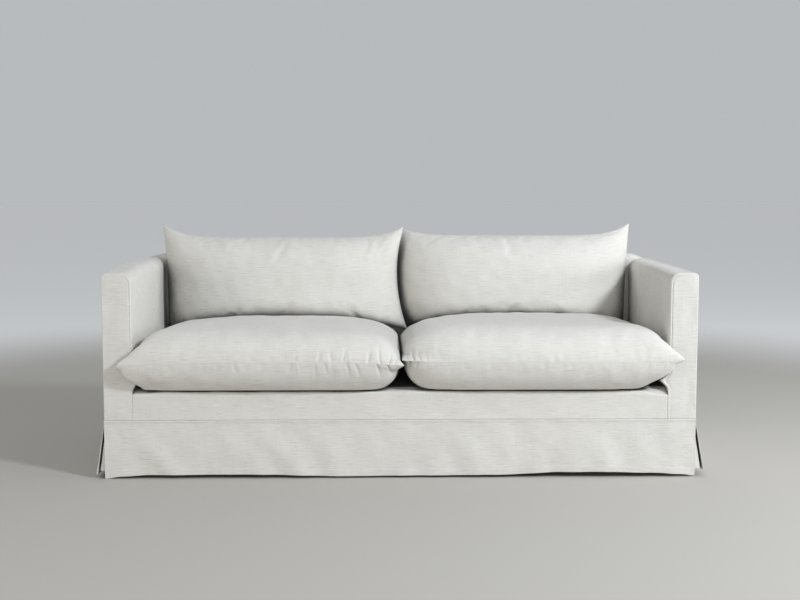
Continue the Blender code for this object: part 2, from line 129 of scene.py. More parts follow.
def uneven(first, second, size, seed, stretch=1.0):
    # smooth random undulation between about -1 and 1, its humps about size apart
    draw = np.random.default_rng(seed)
    total = np.zeros(np.broadcast(first, second).shape)
    for _ in range(waves["count"]):
        angle = draw.uniform(0, 2 * math.pi)
        pace = 2 * math.pi / size * draw.uniform(*waves["paces"])
        run = math.cos(angle) * first * stretch + math.sin(angle) * second
        total = total + np.sin(pace * run + draw.uniform(0, 2 * math.pi))
    return total / waves["level"]


# linen
def srgb(hexCode):
    values = [int(hexCode[place:place + 2], 16) / 255 for place in (1, 3, 5)]
    return [v / 12.92 if v < 0.04045 else ((v + 0.055) / 1.055) ** 2.4 for v in values] + [1.0]


def addNode(tree, kind, settings=None, links=None):
    # links: socket -> (node, output) or a plain value
    node = tree.nodes.new(kind)
    for name, value in (settings or {}).items():
        setattr(node, name, value)
    for socket, source in (links or {}).items():
        if isinstance(source, tuple) and isinstance(source[0], bpy.types.Node):
            tree.links.new(source[0].outputs[source[1]], node.inputs[socket])
        else:
            node.inputs[socket].default_value = source
    return node


linen = {
    "base": "#D8D6D0",
    "slubLight": "#E3E1DB",
    "slubDark": "#C4C1B8",
    "slubLength": 0.060,
    "slubHeight": 0.0032,      # drawn about twice as coarse as it is, or it would not show
    "threadPitch": 0.0016,     # warp and weft, a little coarser than a real heavy linen
    "threadRelief": 0.00020,
    "slubRelief": 0.00038,
    "warpShare": 0.35,         # the warp is evener than the weft
    "mottle": 7.0,             # patches in a metre, where the washing has taken the cloth unevenly
    # from and to which value of the noise, and the least and the most it then does to the colour
    "lightSlubs": (0.60, 0.74, 0.0, 0.85),
    "darkSlubs": (0.40, 0.26, 0.0, 0.75),
    "patches": (0.3, 0.7, 0.975, 1.02),
    "grainSpread": 0.3,
    "grain": (0.955, 1.035),
    "bump": 0.8,
    "roughness": 0.90,
    "ior": 1.45,
    "specular": 0.25,
    "sheen": (0.18, 0.45),     # the soft light edge that short fibres give
    "paintedShadeDarkest": 0.03,           # painted shade: what is left of the colour at the bottom of a deep gap
}

# what each linen is named for, and the shade painted into its colour beside a deep gap, where little light
# finds its way out:
# how deep the gap is, and between which shares of open air the painted shade darkens
linenUsesAndPaintedShade = {
    "cover": ("washed", 0.024, 0.20, 0.42),
    "inside": ("insides", 0.018, 0.22, 0.46),
    "front": ("front border", 0.030, 0.20, 0.45),
    "deck": ("deck", 0.100, 0.30, 0.58),
    "seatTop": ("tops of seat cushions", 0.026, 0.18, 0.42),
    "seatUnder": ("undersides of seat cushions", 0.090, 0.30, 0.55),
    "back": ("back cushions", 0.110, 0.12, 0.56),
}


def makeLinen(name, depth, shut, free):
    # heavy plain-woven linen, washed: matt, with thick and thin weft yarns that run along u, and shade
    # painted into its colour in deep gaps
    material = bpy.data.materials.new("Heavy slubbed linen, plain weave, " + name)
    material.use_nodes = True
    tree = material.node_tree
    tree.nodes.clear()
    place = addNode(tree, "ShaderNodeUVMap", {"uv_map": "weave"})
    length, height = linen["slubLength"], linen["slubHeight"]
    made = {"apart": addNode(tree, "ShaderNodeSeparateXYZ", links={0: (place, 0)})}
    for name, across, along, detail in (("slubs", 1 / length, 1 / height, 1.0),
                                        ("yarns", 3.1 / length, 1.7 / height, 1.0),
                                        ("ends", 0.7 / height, 0.5 / length, 0.0)):
        spread = addNode(tree, "ShaderNodeMapping", links={
            "Vector": (place, 0), "Scale": (across, along, 1)})
        made[name] = addNode(tree, "ShaderNodeTexNoise", links={
            "Vector": (spread, 0), "Scale": 1.0, "Detail": detail, "Roughness": 0.5})
    mottle = addNode(tree, "ShaderNodeTexNoise", links={
        "Vector": (place, 0), "Scale": linen["mottle"], "Detail": 3.0, "Roughness": 0.55})
    # painted shade: ambient occlusion over the given depth, which darkens the colour in deep gaps and creases
    air = addNode(tree, "ShaderNodeAmbientOcclusion", {"samples": 6}, {"Distance": depth})

    # plain weave: the product of two thread waves, and the thick yarns standing above it
    turn = math.pi / linen["threadPitch"]
    for name, operation, *inputs in (
            ("turnAcross", "MULTIPLY", ("apart", 0), turn),
            ("turnAlong", "MULTIPLY", ("apart", 1), turn),
            ("waveAcross", "SINE", ("turnAcross", 0)),
            ("waveAlong", "SINE", ("turnAlong", 0)),
            ("woven", "MULTIPLY", ("waveAcross", 0), ("waveAlong", 0)),
            ("threads", "MULTIPLY", ("woven", 0), linen["threadRelief"]),
            ("thick", "MULTIPLY", ("slubs", 0), linen["slubRelief"] * 2),
            ("fine", "MULTIPLY_ADD", ("yarns", 0), linen["slubRelief"], ("thick", 0)),
            ("relief", "ADD", ("fine", 0), ("threads", 0)),
            ("grain", "MULTIPLY_ADD", ("ends", 0), linen["warpShare"], ("yarns", 0))):
        links = [(made[source[0]], source[1]) if isinstance(source, tuple) else source for source in inputs]
        made[name] = addNode(tree, "ShaderNodeMath", {"operation": operation}, dict(enumerate(links)))
    bump = addNode(tree, "ShaderNodeBump", links={
        "Height": (made["relief"], 0), "Distance": 1.0, "Strength": linen["bump"]})

    # colour: lighter and darker yarns, an uneven grain, washed patches, and painted shade that darkens it in
    # a deep gap
    middle = 0.5 + 0.5 * linen["warpShare"]
    grain = (middle - linen["grainSpread"], middle + linen["grainSpread"], *linen["grain"])
    share = {}
    for name, source, output, (low, high, least, most) in (
            ("light", made["slubs"], 0, linen["lightSlubs"]),
            ("dark", made["slubs"], 0, linen["darkSlubs"]),
            ("grain", made["grain"], 0, grain),
            ("patches", mottle, 0, linen["patches"]),
            ("open", air, "AO", (shut, free, linen["paintedShadeDarkest"], 1.0))):
        share[name] = addNode(tree, "ShaderNodeMapRange", {"clamp": True}, {
            "Value": (source, output), "From Min": low, "From Max": high, "To Min": least, "To Max": most})
    light = addNode(tree, "ShaderNodeMix", {"data_type": "RGBA"}, {
        0: (share["light"], 0), 6: srgb(linen["base"]), 7: srgb(linen["slubLight"])})
    dark = addNode(tree, "ShaderNodeMix", {"data_type": "RGBA"}, {
        0: (share["dark"], 0), 6: (light, 2), 7: srgb(linen["slubDark"])})
    tone = addNode(tree, "ShaderNodeMath", {"operation": "MULTIPLY"}, {
        0: (share["grain"], 0), 1: (share["patches"], 0)})
    # the random tone, times the painted shade of deep gaps
    toneWithPaintedShade = addNode(tree, "ShaderNodeMath", {"operation": "MULTIPLY"}, {0: (tone, 0), 1: (share["open"], 0)})
    colour = addNode(tree, "ShaderNodeVectorMath", {"operation": "SCALE"}, {
        0: (dark, 2), "Scale": (toneWithPaintedShade, 0)})
    shader = addNode(tree, "ShaderNodeBsdfPrincipled", links={
        "Base Color": (colour, 0), "Normal": (bump, 0), "Roughness": linen["roughness"],
        "IOR": linen["ior"], "Specular IOR Level": linen["specular"],
        "Sheen Weight": linen["sheen"][0], "Sheen Roughness": linen["sheen"][1]})
    addNode(tree, "ShaderNodeOutputMaterial", links={"Surface": (shader, 0)})
    return material


thread = {"low": "#CFCCC2", "high": "#E6E3DB", "plies": 900.0, "roughness": 0.62}


def makeThread():
    # corespun sewing thread, dyed to the cloth, a little shinier than linen
    material = bpy.data.materials.new("Sewing thread, dyed to match")
    material.use_nodes = True
    tree = material.node_tree
    shader = tree.nodes["Principled BSDF"]
    place = addNode(tree, "ShaderNodeTexCoord")
    plies = addNode(tree, "ShaderNodeTexNoise", links={
        "Vector": (place, "Object"), "Scale": thread["plies"], "Detail": 1.0})
    tint = addNode(tree, "ShaderNodeMix", {"data_type": "RGBA"}, {
        0: (plies, 0), 6: srgb(thread["low"]), 7: srgb(thread["high"])})
    tree.links.new(tint.outputs[2], shader.inputs["Base Color"])
    shader.inputs["Roughness"].default_value = thread["roughness"]
    return material


linens = {use: makeLinen(*row) for use, row in linenUsesAndPaintedShade.items()}
threadMaterial = makeThread()
print("materials made")


# making a sheet
# distances from an edge at which a sheet needs rows of points
seamStops = (0.0008, 0.0017, 0.0027, 0.0040, 0.0055, 0.0067, 0.0075, 0.0083, 0.0096, 0.0115, 0.0140)
hemStops = (0.0012, 0.0025, 0.0060, 0.0140, 0.0215, 0.0238, 0.0250, 0.0262, 0.0285)
edgeStops = {"sewn": seamStops, "lapped": seamStops, "hem": hemStops, "free": ()}
closest = 0.00055    # rows of points come no closer than this
turnPoints = 9       # rows of points round a turn


def fineStops(start, stop, pitch, turns=(), startEdge="sewn", stopEdge="sewn"):
    # distances along one way of a sheet, close together at seams, hems and turns
    marks = [start, stop]
    marks += [start + offset for offset in edgeStops[startEdge]]
    marks += [stop - offset for offset in edgeStops[stopEdge]]
    for turnStart, turnStop in turns:
        marks += list(np.linspace(turnStart, turnStop, turnPoints))
    clear = max(1, round((stop - start) / pitch))
    marks += list(np.linspace(start, stop, clear + 1))
    kept = [start]
    for mark in sorted(marks):
        if mark - kept[-1] > closest and stop - mark > closest:
            kept.append(mark)
    return np.array(kept + [stop])


# how a sheet stands above or below its own face near an edge; free and under edges lie flat
edgeForms = {
    # steps as (height, how far in it holds, how far it takes to fade), and the groove under a row of
    # stitches as (depth, place, width)
    "sewn": (((-0.0015, 0.0, 0.0032),), None),
    "pressed": (((-0.000525, 0.0, 0.0032),), None),
    "lapped": (((0.0016, 0.0065, 0.0060), (-0.0010, 0.0, 0.0016)), (0.0007, 0.0075, 0.0012)),
    "hem": (((0.0007, 0.0245, 0.0030), (-0.0008, 0.0, 0.0016)), (0.0006, 0.0250, 0.0013)),
}
# the puckers along a seam, how near a held edge the sheet lies calm, and its finer unevenness
sheetForm = {"puckerLength": 0.034, "puckerReach": 0.016, "puckerStart": 0.004, "calmEdge": 0.045,
             "fineShare": 0.30, "fineness": 3.2}


def edgeLift(style, distance):
    lift = np.zeros_like(distance)
    steps, groove = edgeForms.get(style, ((), None))
    for height, held, run in steps:
        lift += height * (1 - ease((distance - held) / run))
    if groove:
        depth, place, width = groove
        lift -= depth * np.exp(-((distance - place) / width) ** 2)
    return lift


def sheetRelief(across, along, edges, look, quiet=1.0):
    # unevenness, seam puckers and edges of a sheet, as heights above its face
    first, second = np.meshgrid(across, along, indexing="ij")
    fromEdge = [first - across[0], across[-1] - first, second - along[0], along[-1] - second]
    alongEdge = [second, second, first, first]
    calm = np.ones_like(first) * quiet
    lift = np.zeros_like(first)
    for number, (style, distance, where) in enumerate(zip(edges, fromEdge, alongEdge)):
        lift += edgeLift(style, distance)
        if style not in ("free", "under"):
            pucker = uneven(where, 0 * where, sheetForm["puckerLength"], look["seed"] + 40 + number)
            pucker *= np.exp(-distance / sheetForm["puckerReach"]) * ease(distance / sheetForm["puckerStart"])
            lift += look["pucker"] * pucker
        if style in ("sewn", "pressed", "under"):
            calm *= ease(distance / sheetForm["calmEdge"])
    for share, finer, step in ((1, 1, 0), (sheetForm["fineShare"], sheetForm["fineness"], 1)):
        hump = look["hump"] / finer
        lift += share * look["undulation"] * calm * uneven(first, second, hump, look["seed"] + step)
    return lift


def gridNormals(points, outward):
    normals = np.cross(np.gradient(points, axis=0), np.gradient(points, axis=1))
    normals /= np.maximum(np.linalg.norm(normals, axis=2, keepdims=True), 1e-12)
    turned = float((normals @ np.array(outward)).mean()) < 0
    return (-normals if turned else normals), turned


def intoScene(name, data):
    thing = bpy.data.objects.new(name, data)
    bpy.context.scene.collection.objects.link(thing)
    return thing


def toObject(name, points, faces, corners, material, sharp=50):
    mesh = bpy.data.meshes.new(name)
    mesh.from_pydata([tuple(point) for point in points], [], faces)
    layer = mesh.uv_layers.new(name="weave")
    layer.data.foreach_set("uv", np.array(corners, dtype=np.float32).ravel())
    mesh.shade_smooth()
    mesh.set_sharp_from_angle(angle=math.radians(sharp))
    mesh.materials.append(material)
    mesh.update()
    return intoScene(name, mesh)


def gridShell(points, relief, outward, weave, keep=None):
    # a sheet's outer and inner face, closed round its edge
    normals, turned = gridNormals(points, outward)
    outer = points + normals * relief[..., None]
    inner = points - normals * cloth["thickness"]
    rows, columns = points.shape[:2]
    kept = np.ones((rows - 1, columns - 1), bool) if keep is None else keep
    count = rows * columns
    faces = []
    rims = {}
    for i, j in zip(*np.nonzero(kept)):
        ring = [i * columns + j, (i + 1) * columns + j, (i + 1) * columns + j + 1, i * columns + j + 1]
        if turned:
            ring.reverse()
        faces.append(ring)
        faces.append([corner + count for corner in reversed(ring)])
        for start, stop in zip(ring, ring[1:] + ring[:1]):
            if (stop, start) in rims:
                del rims[(stop, start)]
            else:
                rims[(start, stop)] = True
    for start, stop in rims:
        faces.append([stop, start, start + count, stop + count])
    used = sorted({corner for face in faces for corner in face})
    renumber = {old: new for new, old in enumerate(used)}
    both = np.concatenate([outer.reshape(-1, 3), inner.reshape(-1, 3)])
    flat = np.concatenate([weave.reshape(-1, 2)] * 2)
    corners = [flat[corner] for face in faces for corner in face]
    faces = [[renumber[corner] for corner in face] for face in faces]
    return both[used], faces, corners, outer


def searchTree(pieces):
    # for finding where a ray meets these pieces
    points, polygons = [], []
    for piece in pieces:
        start = len(points)
        points += [vertex.co.copy() for vertex in piece.data.vertices]
        polygons += [[start + corner for corner in polygon.vertices] for polygon in piece.data.polygons]
    return BVHTree.FromPolygons(points, polygons)


stitchRows = []


def dress(piece, node):
    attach(piece, "root")
    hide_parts(node)


def sewSheet(node, across, along, place, edges, outward, look, swapWeave=False, keep=None,
             quiet=1.0):
    # a sheet whose cloth at (across, along) lies at place(across, along); edges: first, last, top, bottom
    points = np.array([[place(a, b) for b in along] for a in across])
    points += np.array([middleX, middleY, 0.0])
    first, second = np.meshgrid(across, along, indexing="ij")
    weave = np.stack([second, first] if swapWeave else [first, second], axis=2)
    weave += look["seed"] * cloth["weaveShift"]
    relief = sheetRelief(across, along, edges, look, quiet)
    verts, faces, corners, outer = gridShell(points, relief, outward, weave, keep)
    # each piece takes the copy of the linen with the painted gap shade for its place
    linenHere = linens.get(node.split("_")[0], linens["cover"])
    piece = toObject(node + "_cloth", verts, faces, corners, linenHere)
    dress(piece, node)
    if keep is not None:
        cells = np.outer(np.diff(across), np.diff(along))
    for number, style in enumerate(edges):
        groove = edgeForms.get(style, ((), None))[1]
        if groove is None:
            continue
        stops = along if number > 1 else across
        mark = stops[-1] - groove[1] if number % 2 else stops[0] + groove[1]
        nearest = int(np.abs(stops - mark).argmin())
        stitchRows.append(outer[:, nearest] if number > 1 else outer[nearest])


# the bunched cloth beside the border: how deep, how high it rises and how far up it fades away;
# then how far it reaches across and back
crumple = {"left": (0.013, 0.012, 0.042), "right": (0.030, 0.028, 0.024), "start": 0.002, "power": 1.2,
           "reach": 0.034, "length": 0.040}


def armCrumple(side, z):
    # how far the cloth at an arm's lower front corner pushes into the gap beside the cushion
    bunch, rise, fall = crumple[side]
    above = z - cover["deckHeight"] - crumple["start"]
    share = min(above / rise, 1 - (above - rise) / fall)
    return bunch * float(np.clip(share, 0, 1)) ** crumple["power"]


def armSwell(side, y):
    # how far the arm's padding lifts its top
    risen = ease((y - front) / cloth["swellRun"]) * ease((rear - y) / (rear - cover["backFace"]))
    return cloth["armSwell"][side] * float(risen)


def backTop(x):
    fromEnd = topSeam - abs(x)
    return between(cover["armHeight"], cover["backHeight"], float(ease(fromEnd / cloth["wingSlope"])))


# arms
insideArm = {"round": 0.038, "tuck": 0.010, "seed": 3, "pitch": 0.013, "pucker": 0.0006,
             "undulation": 0.0011, "hump": 0.22}


def makeInsideArm(side):
    outer = topSeam - cloth["gap"]
    run = outer - cover["armInner"] - insideArm["round"]
    foot = cover["armHeight"] - cover["deckHeight"]
    arc = insideArm["round"] * math.pi / 2
    length = run + arc + foot - insideArm["round"] + insideArm["tuck"]
    backFace = cover["backFace"]

    def place(distance, y):
        inwards, down = aroundBend(distance, run, insideArm["round"])
        swell = armSwell(side, y) * (1 - down / cover["armHeight"])
        slack = cloth["slack"] * slackWave(y, down) * faded(down, 0, foot) * faded(y, panelStart, backFace)
        bunch = armCrumple(side, cover["armHeight"] - down)
        bunch *= float(1 - ease((y - panelStart) / crumple["length"]))
        return sides[side] * (outer - inwards + min(0.0, slack) - bunch), y, cover["armHeight"] + swell - down

    across = fineStops(0, length, insideArm["pitch"], [(run, run + arc)], stopEdge="free")
    along = fineStops(panelStart, backFace - cloth["gap"], insideArm["pitch"])
    look = dict(insideArm, seed=insideArm["seed"] + sides[side])
    sewSheet("inside_arm_" + side, across, along, place, ("sewn", "under", "sewn", "under"),
             (-sides[side], 0, 1), look, swapWeave=True)


outsideArm = {"seed": 7, "pitch": 0.014, "pucker": 0.0006, "undulation": 0.0013, "hump": 0.26}


def makeOutsideArm(side):
    length = rear - cornerRound - panelStart
    gap = cloth["gap"]
    edge = cloth["edgeRound"]
    rise = cover["armHeight"] - edge - cover["skirtTop"] - gap

    def place(distance, climb):
        up, inset = aroundBend(climb, rise, edge)
        ahead, inwards = aroundBend(distance, length, cornerRound, inset)
        swell = armSwell(side, panelStart + ahead) * up / (rise + edge)
        slack = cloth["slack"] * (0.5 + 0.5 * slackWave(panelStart + ahead, up))
        slack *= math.sin(math.pi * min(1, up / rise)) * faded(distance, 0, length)
        x = cover["halfWidth"] - inwards - slack
        return sides[side] * x, panelStart + ahead, cover["skirtTop"] + gap + up + swell

    turn = cornerRound * math.pi / 2
    roll = edge * math.pi / 2
    across = fineStops(0, length + turn + cloth["lip"], outsideArm["pitch"], [(length, length + turn)])
    along = fineStops(0, rise + roll + cloth["lip"], outsideArm["pitch"], [(rise, rise + roll)])
    look = dict(outsideArm, seed=outsideArm["seed"] + sides[side])
    sewSheet("outside_arm_" + side, across, along, place, ("sewn", "sewn", "pressed", "sewn"),
             (sides[side], 0, 0), look)


armFront = {
    "innerRound": 0.038, "roll": 0.0035,
    # low down, beside the border, the rim is flatter and the welt fades
    "lowRoll": 0.0012, "rollRise": 0.03, "lowShare": 0.10, "weltRise": 0.04,
    "welt": {"left": 0.0, "right": 0.0030}, "weltRun": (0.024, 0.050), "weltBand": (0.0010, 0.0060, 0.0030),
    "stitchIn": {"left": 0.0062, "right": 0.0098}, "groove": {"left": 0.0018, "right": 0.0034},
    "grooveWidth": 0.0021, "puckerLength": 0.028, "puckerReach": 0.010, "puckerStart": 0.005,
    "seed": 12, "pitch": 0.011, "pucker": 0.0005, "undulation": 0.0012, "hump": 0.16,
    "calmRim": 0.02, "calmFoot": 0.03, "fineShare": 0.4, "fineness": 3, "flatRim": 0.001, "flatRun": 0.004,
    # distances from the rim and from the foot at which the panel needs points, and where they spread out
    "rims": (0.0, 0.0004, 0.0011, 0.0021, 0.0034, 0.0048, 0.0062, 0.0075, 0.0087, 0.0098, 0.0109, 0.0121,
             0.0140),
    "foot": (0.0, 0.0008, 0.0018, 0.0032, 0.0060, 0.0100), "spread": 0.018, "middle": 7, "stitchPoints": 90,
    "turnPoints": 12,
}


def makeArmFront(side):
    form = armFront
    rims = form["rims"]
    spread = form["spread"]
    low = cover["skirtTop"] + cloth["gap"]
    high = cover["armHeight"]
    inner, outer = cover["armInner"], cover["halfWidth"]
    rounds = ((inner + form["innerRound"], form["innerRound"], -1),
              (outer - cloth["edgeRound"], cloth["edgeRound"], 1))
    middle = np.linspace(inner + spread, outer - spread, form["middle"])
    columns = [inner + rim for rim in rims] + list(middle) + [outer - rim for rim in reversed(rims)]
    rows = round((high - low) / form["pitch"])

    def topOf(x):
        top = high
        for centre, radius, way in rounds:
            aside = (x - centre) * way
            if aside > 0:
                top = high - radius + math.sqrt(max(0.0, radius ** 2 - aside ** 2))
        return top

    def fromRim(x, z):
        # distance from the rolled rim, which runs up both edges and over the top
        nearest = min(x - inner, outer - x, high - z)
        for centre, radius, way in rounds:
            aside, above = (x - centre) * way, z - (high - radius)
            if aside > 0 and above > 0:
                nearest = min(nearest, radius - math.hypot(aside, above))
        return max(0.0, nearest)

    def place(x, z):
        roll = form["roll"]
        if x < (inner + outer) / 2:
            roll = between(form["lowRoll"], roll, float(ease((z - cover["deckHeight"]) / form["rollRise"])))
        back = roll - math.sqrt(roll ** 2 - max(0.0, roll - fromRim(x, z)) ** 2)
        bunch = armCrumple(side, z) * float(1 - ease((x - inner) / crumple["reach"]))
        return sides[side] * (x - bunch) + middleX, front + back + middleY, z

    weave = []
    for x in columns:
        top = topOf(x)
        heights = [low + offset for offset in form["foot"]]
        heights += list(np.linspace(low + spread, top - spread, rows))
        heights += [top - rim for rim in reversed(rims)]
        weave.append([(x, z) for z in heights])
    points = np.array([[place(x, z) for x, z in column] for column in weave])
    distance = np.array([[fromRim(x, z) for x, z in column] for column in weave])
    weave = np.array(weave)
    first, second = weave[..., 0], weave[..., 1]
    seed = form["seed"] + sides[side]
    stitchIn = form["stitchIn"][side]
    # the welt runs up the inner edge and dies away over the top
    weltStart, weltEnd = form["weltRun"]
    worked = 1 - ease((first - inner - weltStart) / (weltEnd - weltStart))
    worked *= between(form["lowShare"], 1, ease((second - cover["deckHeight"]) / form["weltRise"]))
    calm = form["undulation"] * ease(distance / form["calmRim"]) * ease((second - low) / form["calmFoot"])
    relief = calm * uneven(first, second, form["hump"], seed, 2.0)
    relief += form["fineShare"] * calm * uneven(first, second, form["hump"] / form["fineness"], seed + 1, 1.6)
    bandStart, bandEnd, bandFade = form["weltBand"]
    raised = ease((distance - bandStart) / bandFade) * (1 - ease((distance - bandEnd) / bandFade))
    relief += form["welt"][side] * worked * raised
    relief -= form["groove"][side] * worked * np.exp(-((distance - stitchIn) / form["grooveWidth"]) ** 2)
    pucker = form["pucker"] * uneven(second, first, form["puckerLength"], seed + 2)
    pucker *= np.exp(-np.abs(distance - stitchIn) / form["puckerReach"])
    relief += pucker * ease(distance / form["puckerStart"]) + edgeLift("pressed", second - low)
    relief *= ease((distance - form["flatRim"]) / form["flatRun"])

    # the rim's lip runs straight back to the seam, one more row round the open edge
    normals, _ = gridNormals(points, (0, -1, 0))
    outerFace = points + normals * relief[..., None]
    lip = np.array([0, cloth["lip"] / 2, 0])
    padded = np.concatenate([outerFace[:1] + lip, outerFace, outerFace[-1:] + lip])
    padded = np.concatenate([padded, padded[:, -1:] + lip], axis=1)
    padded[[0, -1], -1] -= lip
    flat = np.concatenate([weave[:1], weave, weave[-1:]])
    flat = np.concatenate([flat, flat[:, -1:]], axis=1) + seed * cloth["weaveShift"]
    verts, faces, corners, _ = gridShell(padded, np.zeros(padded.shape[:2]), (0, -1, 0), flat)
    node = "arm_front_" + side
    piece = toObject(node + "_cloth", verts, faces, corners, linens["cover"])
    dress(piece, node)
    stitchRows.append(armFrontStitches(side, piece, inner, outer, low, stitchIn))


def armFrontStitches(side, piece, inner, outer, low, stitchIn):
    # the row of topstitching inside the rim: up the inner edge and over the rounded top
    top = cover["armHeight"] - stitchIn
    radius = armFront["innerRound"] - stitchIn
    start = inner + stitchIn
    path = [(start, z) for z in np.linspace(low + stitchIn, top - radius, armFront["stitchPoints"])]
    for turn in np.linspace(0, math.pi / 2, armFront["turnPoints"])[1:]:
        path.append((start + radius * (1 - math.cos(turn)), top - radius + radius * math.sin(turn)))
    end = outer - cloth["edgeRound"]
    path += [(x, top) for x in np.linspace(start + radius, end, armFront["turnPoints"])[1:]]
    tree = searchTree([piece])
    row = []
    for x, z in path:
        hit = tree.ray_cast(Vector((sides[side] * x + middleX, front - 0.1, z)), Vector((0, 1, 0)))[0]
        if hit:
            row.append(hit)
    return np.array(row)


for side in sides:
    makeInsideArm(side)
    makeOutsideArm(side)
    makeArmFront(side)
print("arms sewn")


# front border and deck
border = {"round": 0.018, "run": 0.040, "dips": {"left": 0.008, "right": 0.015}, "dipLength": 0.120,
          "sink": 0.004, "sinkStart": 0.012, "sinkEnd": 0.056,
          "seed": 20, "pitch": 0.013, "pucker": 0.0006, "undulation": 0.0012, "hump": 0.19}


def makeBorder():
    gap = cloth["gap"]
    rise = cover["deckHeight"] - border["round"] - cover["skirtTop"] - gap
    end = cover["armInner"] - gap
    top = rise + border["round"]

    def place(x, climb):
        up, back = aroundBend(climb, rise, border["round"])
        depth = border["dips"]["right" if x > 0 else "left"]
        dip = depth * float(ease((abs(x) - end + border["dipLength"]) / border["dipLength"]))
        dip *= up / top * float(1 - ease(back / (border["round"] + border["run"] / 2)))
        slack = cloth["slack"] * (1 + slackWave(x, up)) * faded(x, -end, end)
        slack *= math.sin(math.pi * min(1, up / top))
        # the cushions' weight presses the roll down a little
        sink = border["sink"] * float(ease(back / border["sinkStart"]))
        sink *= float(1 - ease((back - border["sinkEnd"] / 2) / (border["sinkEnd"] / 2)))
        return x, front + back + slack, cover["skirtTop"] + gap + up - dip - sink

    arc = border["round"] * math.pi / 2
    across = fineStops(-end, end, border["pitch"])
    along = fineStops(0, rise + arc + border["run"], border["pitch"] * 0.8, [(rise, rise + arc)],
                      stopEdge="free")
    sewSheet("front_border", across, along, place, ("pressed", "pressed", "pressed", "under"), (0, -1, 1),
             border)


deck = {"seed": 23, "pitch": 0.04, "pucker": 0.0, "undulation": 0.0, "hump": 0.3}


def makeDeck():
    end = cover["armInner"] - cloth["gap"]
    start = front + border["round"] + border["run"] + cloth["gap"]
    across = fineStops(-end, end, deck["pitch"], (), "free", "free")
    along = fineStops(start, cover["backFace"] - cloth["gap"], deck["pitch"], (), "free", "free")
    sewSheet("deck", across, along, lambda x, y: (x, y, cover["deckHeight"]), ("free",) * 4, (0, 0, 1), deck)


# back
insideBack = {"round": 0.030, "tuck": 0.010, "wingRoom": 0.0025, "wingWrap": 0.75, "seed": 26,
              "pitch": 0.015, "pucker": 0.0005, "undulation": 0.0013, "hump": 0.27}


def makeInsideBack():
    gap = cloth["gap"]
    back = rear - cloth["edgeRound"] - cloth["lip"] - gap
    run = back - cover["backFace"] - insideBack["round"]
    arc = insideBack["round"] * math.pi / 2
    drop = cover["backHeight"] - insideBack["round"] - cover["deckHeight"] + insideBack["tuck"]
    neck = cover["armInner"] + insideBack["wingRoom"]
    end = topSeam - gap
    wingEnd = run + arc * insideBack["wingWrap"]
    tabEnd = run + arc + cloth["wingTab"]
    tabSide = (neck + end) / 2

    def place(x, distance):
        forwards, down = aroundBend(distance, run, insideBack["round"])
        z = cover["backHeight"] - down
        if z > cover["armHeight"]:
            height = cover["backHeight"] - cover["armHeight"]
            z = between(cover["armHeight"], z, (backTop(x) - cover["armHeight"]) / height)
        slack = cloth["slack"] * (1 + slackWave(x, z)) * float(ease(down / cloth["slackFade"]))
        overArm = float(1 - ease((topSeam - abs(x)) / cloth["wingSlope"]))
        swell = overArm * armSwell("right" if x > 0 else "left", back - forwards)
        return x, back - forwards + slack * faded(x, -neck, neck), z + swell

    inner = fineStops(neck, tabSide, insideBack["pitch"], (), "free", "free")
    outer = fineStops(tabSide, end, insideBack["pitch"], (), "free")
    wing = np.concatenate([inner, outer[1:]])
    body = fineStops(-neck, neck, insideBack["pitch"], (), "free", "free")
    across = np.concatenate([-wing[:0:-1], body, wing[1:]])
    upper = fineStops(0, wingEnd, insideBack["pitch"], [(run, wingEnd)], stopEdge="free")
    tab = fineStops(wingEnd, tabEnd, insideBack["pitch"], [(wingEnd, run + arc)], "free", "free")
    lower = fineStops(tabEnd, run + arc + drop, insideBack["pitch"], (), "free", "free")
    along = np.concatenate([upper, tab[1:], lower[1:]])
    asides = np.abs(across[1:] + across[:-1])[:, None] / 2
    downs = (along[1:] + along[:-1])[None, :] / 2
    keep = (asides < neck) | (downs < wingEnd) | ((asides < tabSide) & (downs < tabEnd))
    besideArm = np.abs(np.abs(across) - neck)[:, None] / sheetForm["calmEdge"]
    quiet = np.where(along[None, :] < wingEnd, 1.0, ease(besideArm))
    sewSheet("inside_back", across, along, place, ("sewn", "sewn", "sewn", "under"), (0, -1, 1), insideBack,
             keep=keep, quiet=quiet)


outsideBack = {"seed": 30, "pitch": 0.016, "pucker": 0.0007, "undulation": 0.0016, "hump": 0.30}


def makeOutsideBack():
    gap = cloth["gap"]
    edge = cloth["edgeRound"]
    end = cover["halfWidth"] - cornerRound - cloth["lip"] - gap
    rise = cover["backHeight"] - edge - cover["skirtTop"] - gap

    def place(x, climb):
        up, forwards = aroundBend(climb, rise, edge)
        lower = (cover["backHeight"] - backTop(x)) * up / (rise + edge)
        slack = cloth["slack"] * (1 + slackWave(x, up)) * faded(x, -end, end)
        slack *= math.sin(math.pi * min(1, up / rise))
        return x, rear - forwards - slack, cover["skirtTop"] + gap + up - lower

    roll = edge * math.pi / 2
    across = fineStops(-end, end, outsideBack["pitch"])
    along = fineStops(0, rise + roll + cloth["lip"], outsideBack["pitch"], [(rise, rise + roll)])
    sewSheet("outside_back", across, along, place, ("sewn", "sewn", "sewn", "sewn"), (0, 1, 0), outsideBack)


makeBorder()
makeDeck()
makeInsideBack()
makeOutsideBack()
print("border, deck and back sewn")


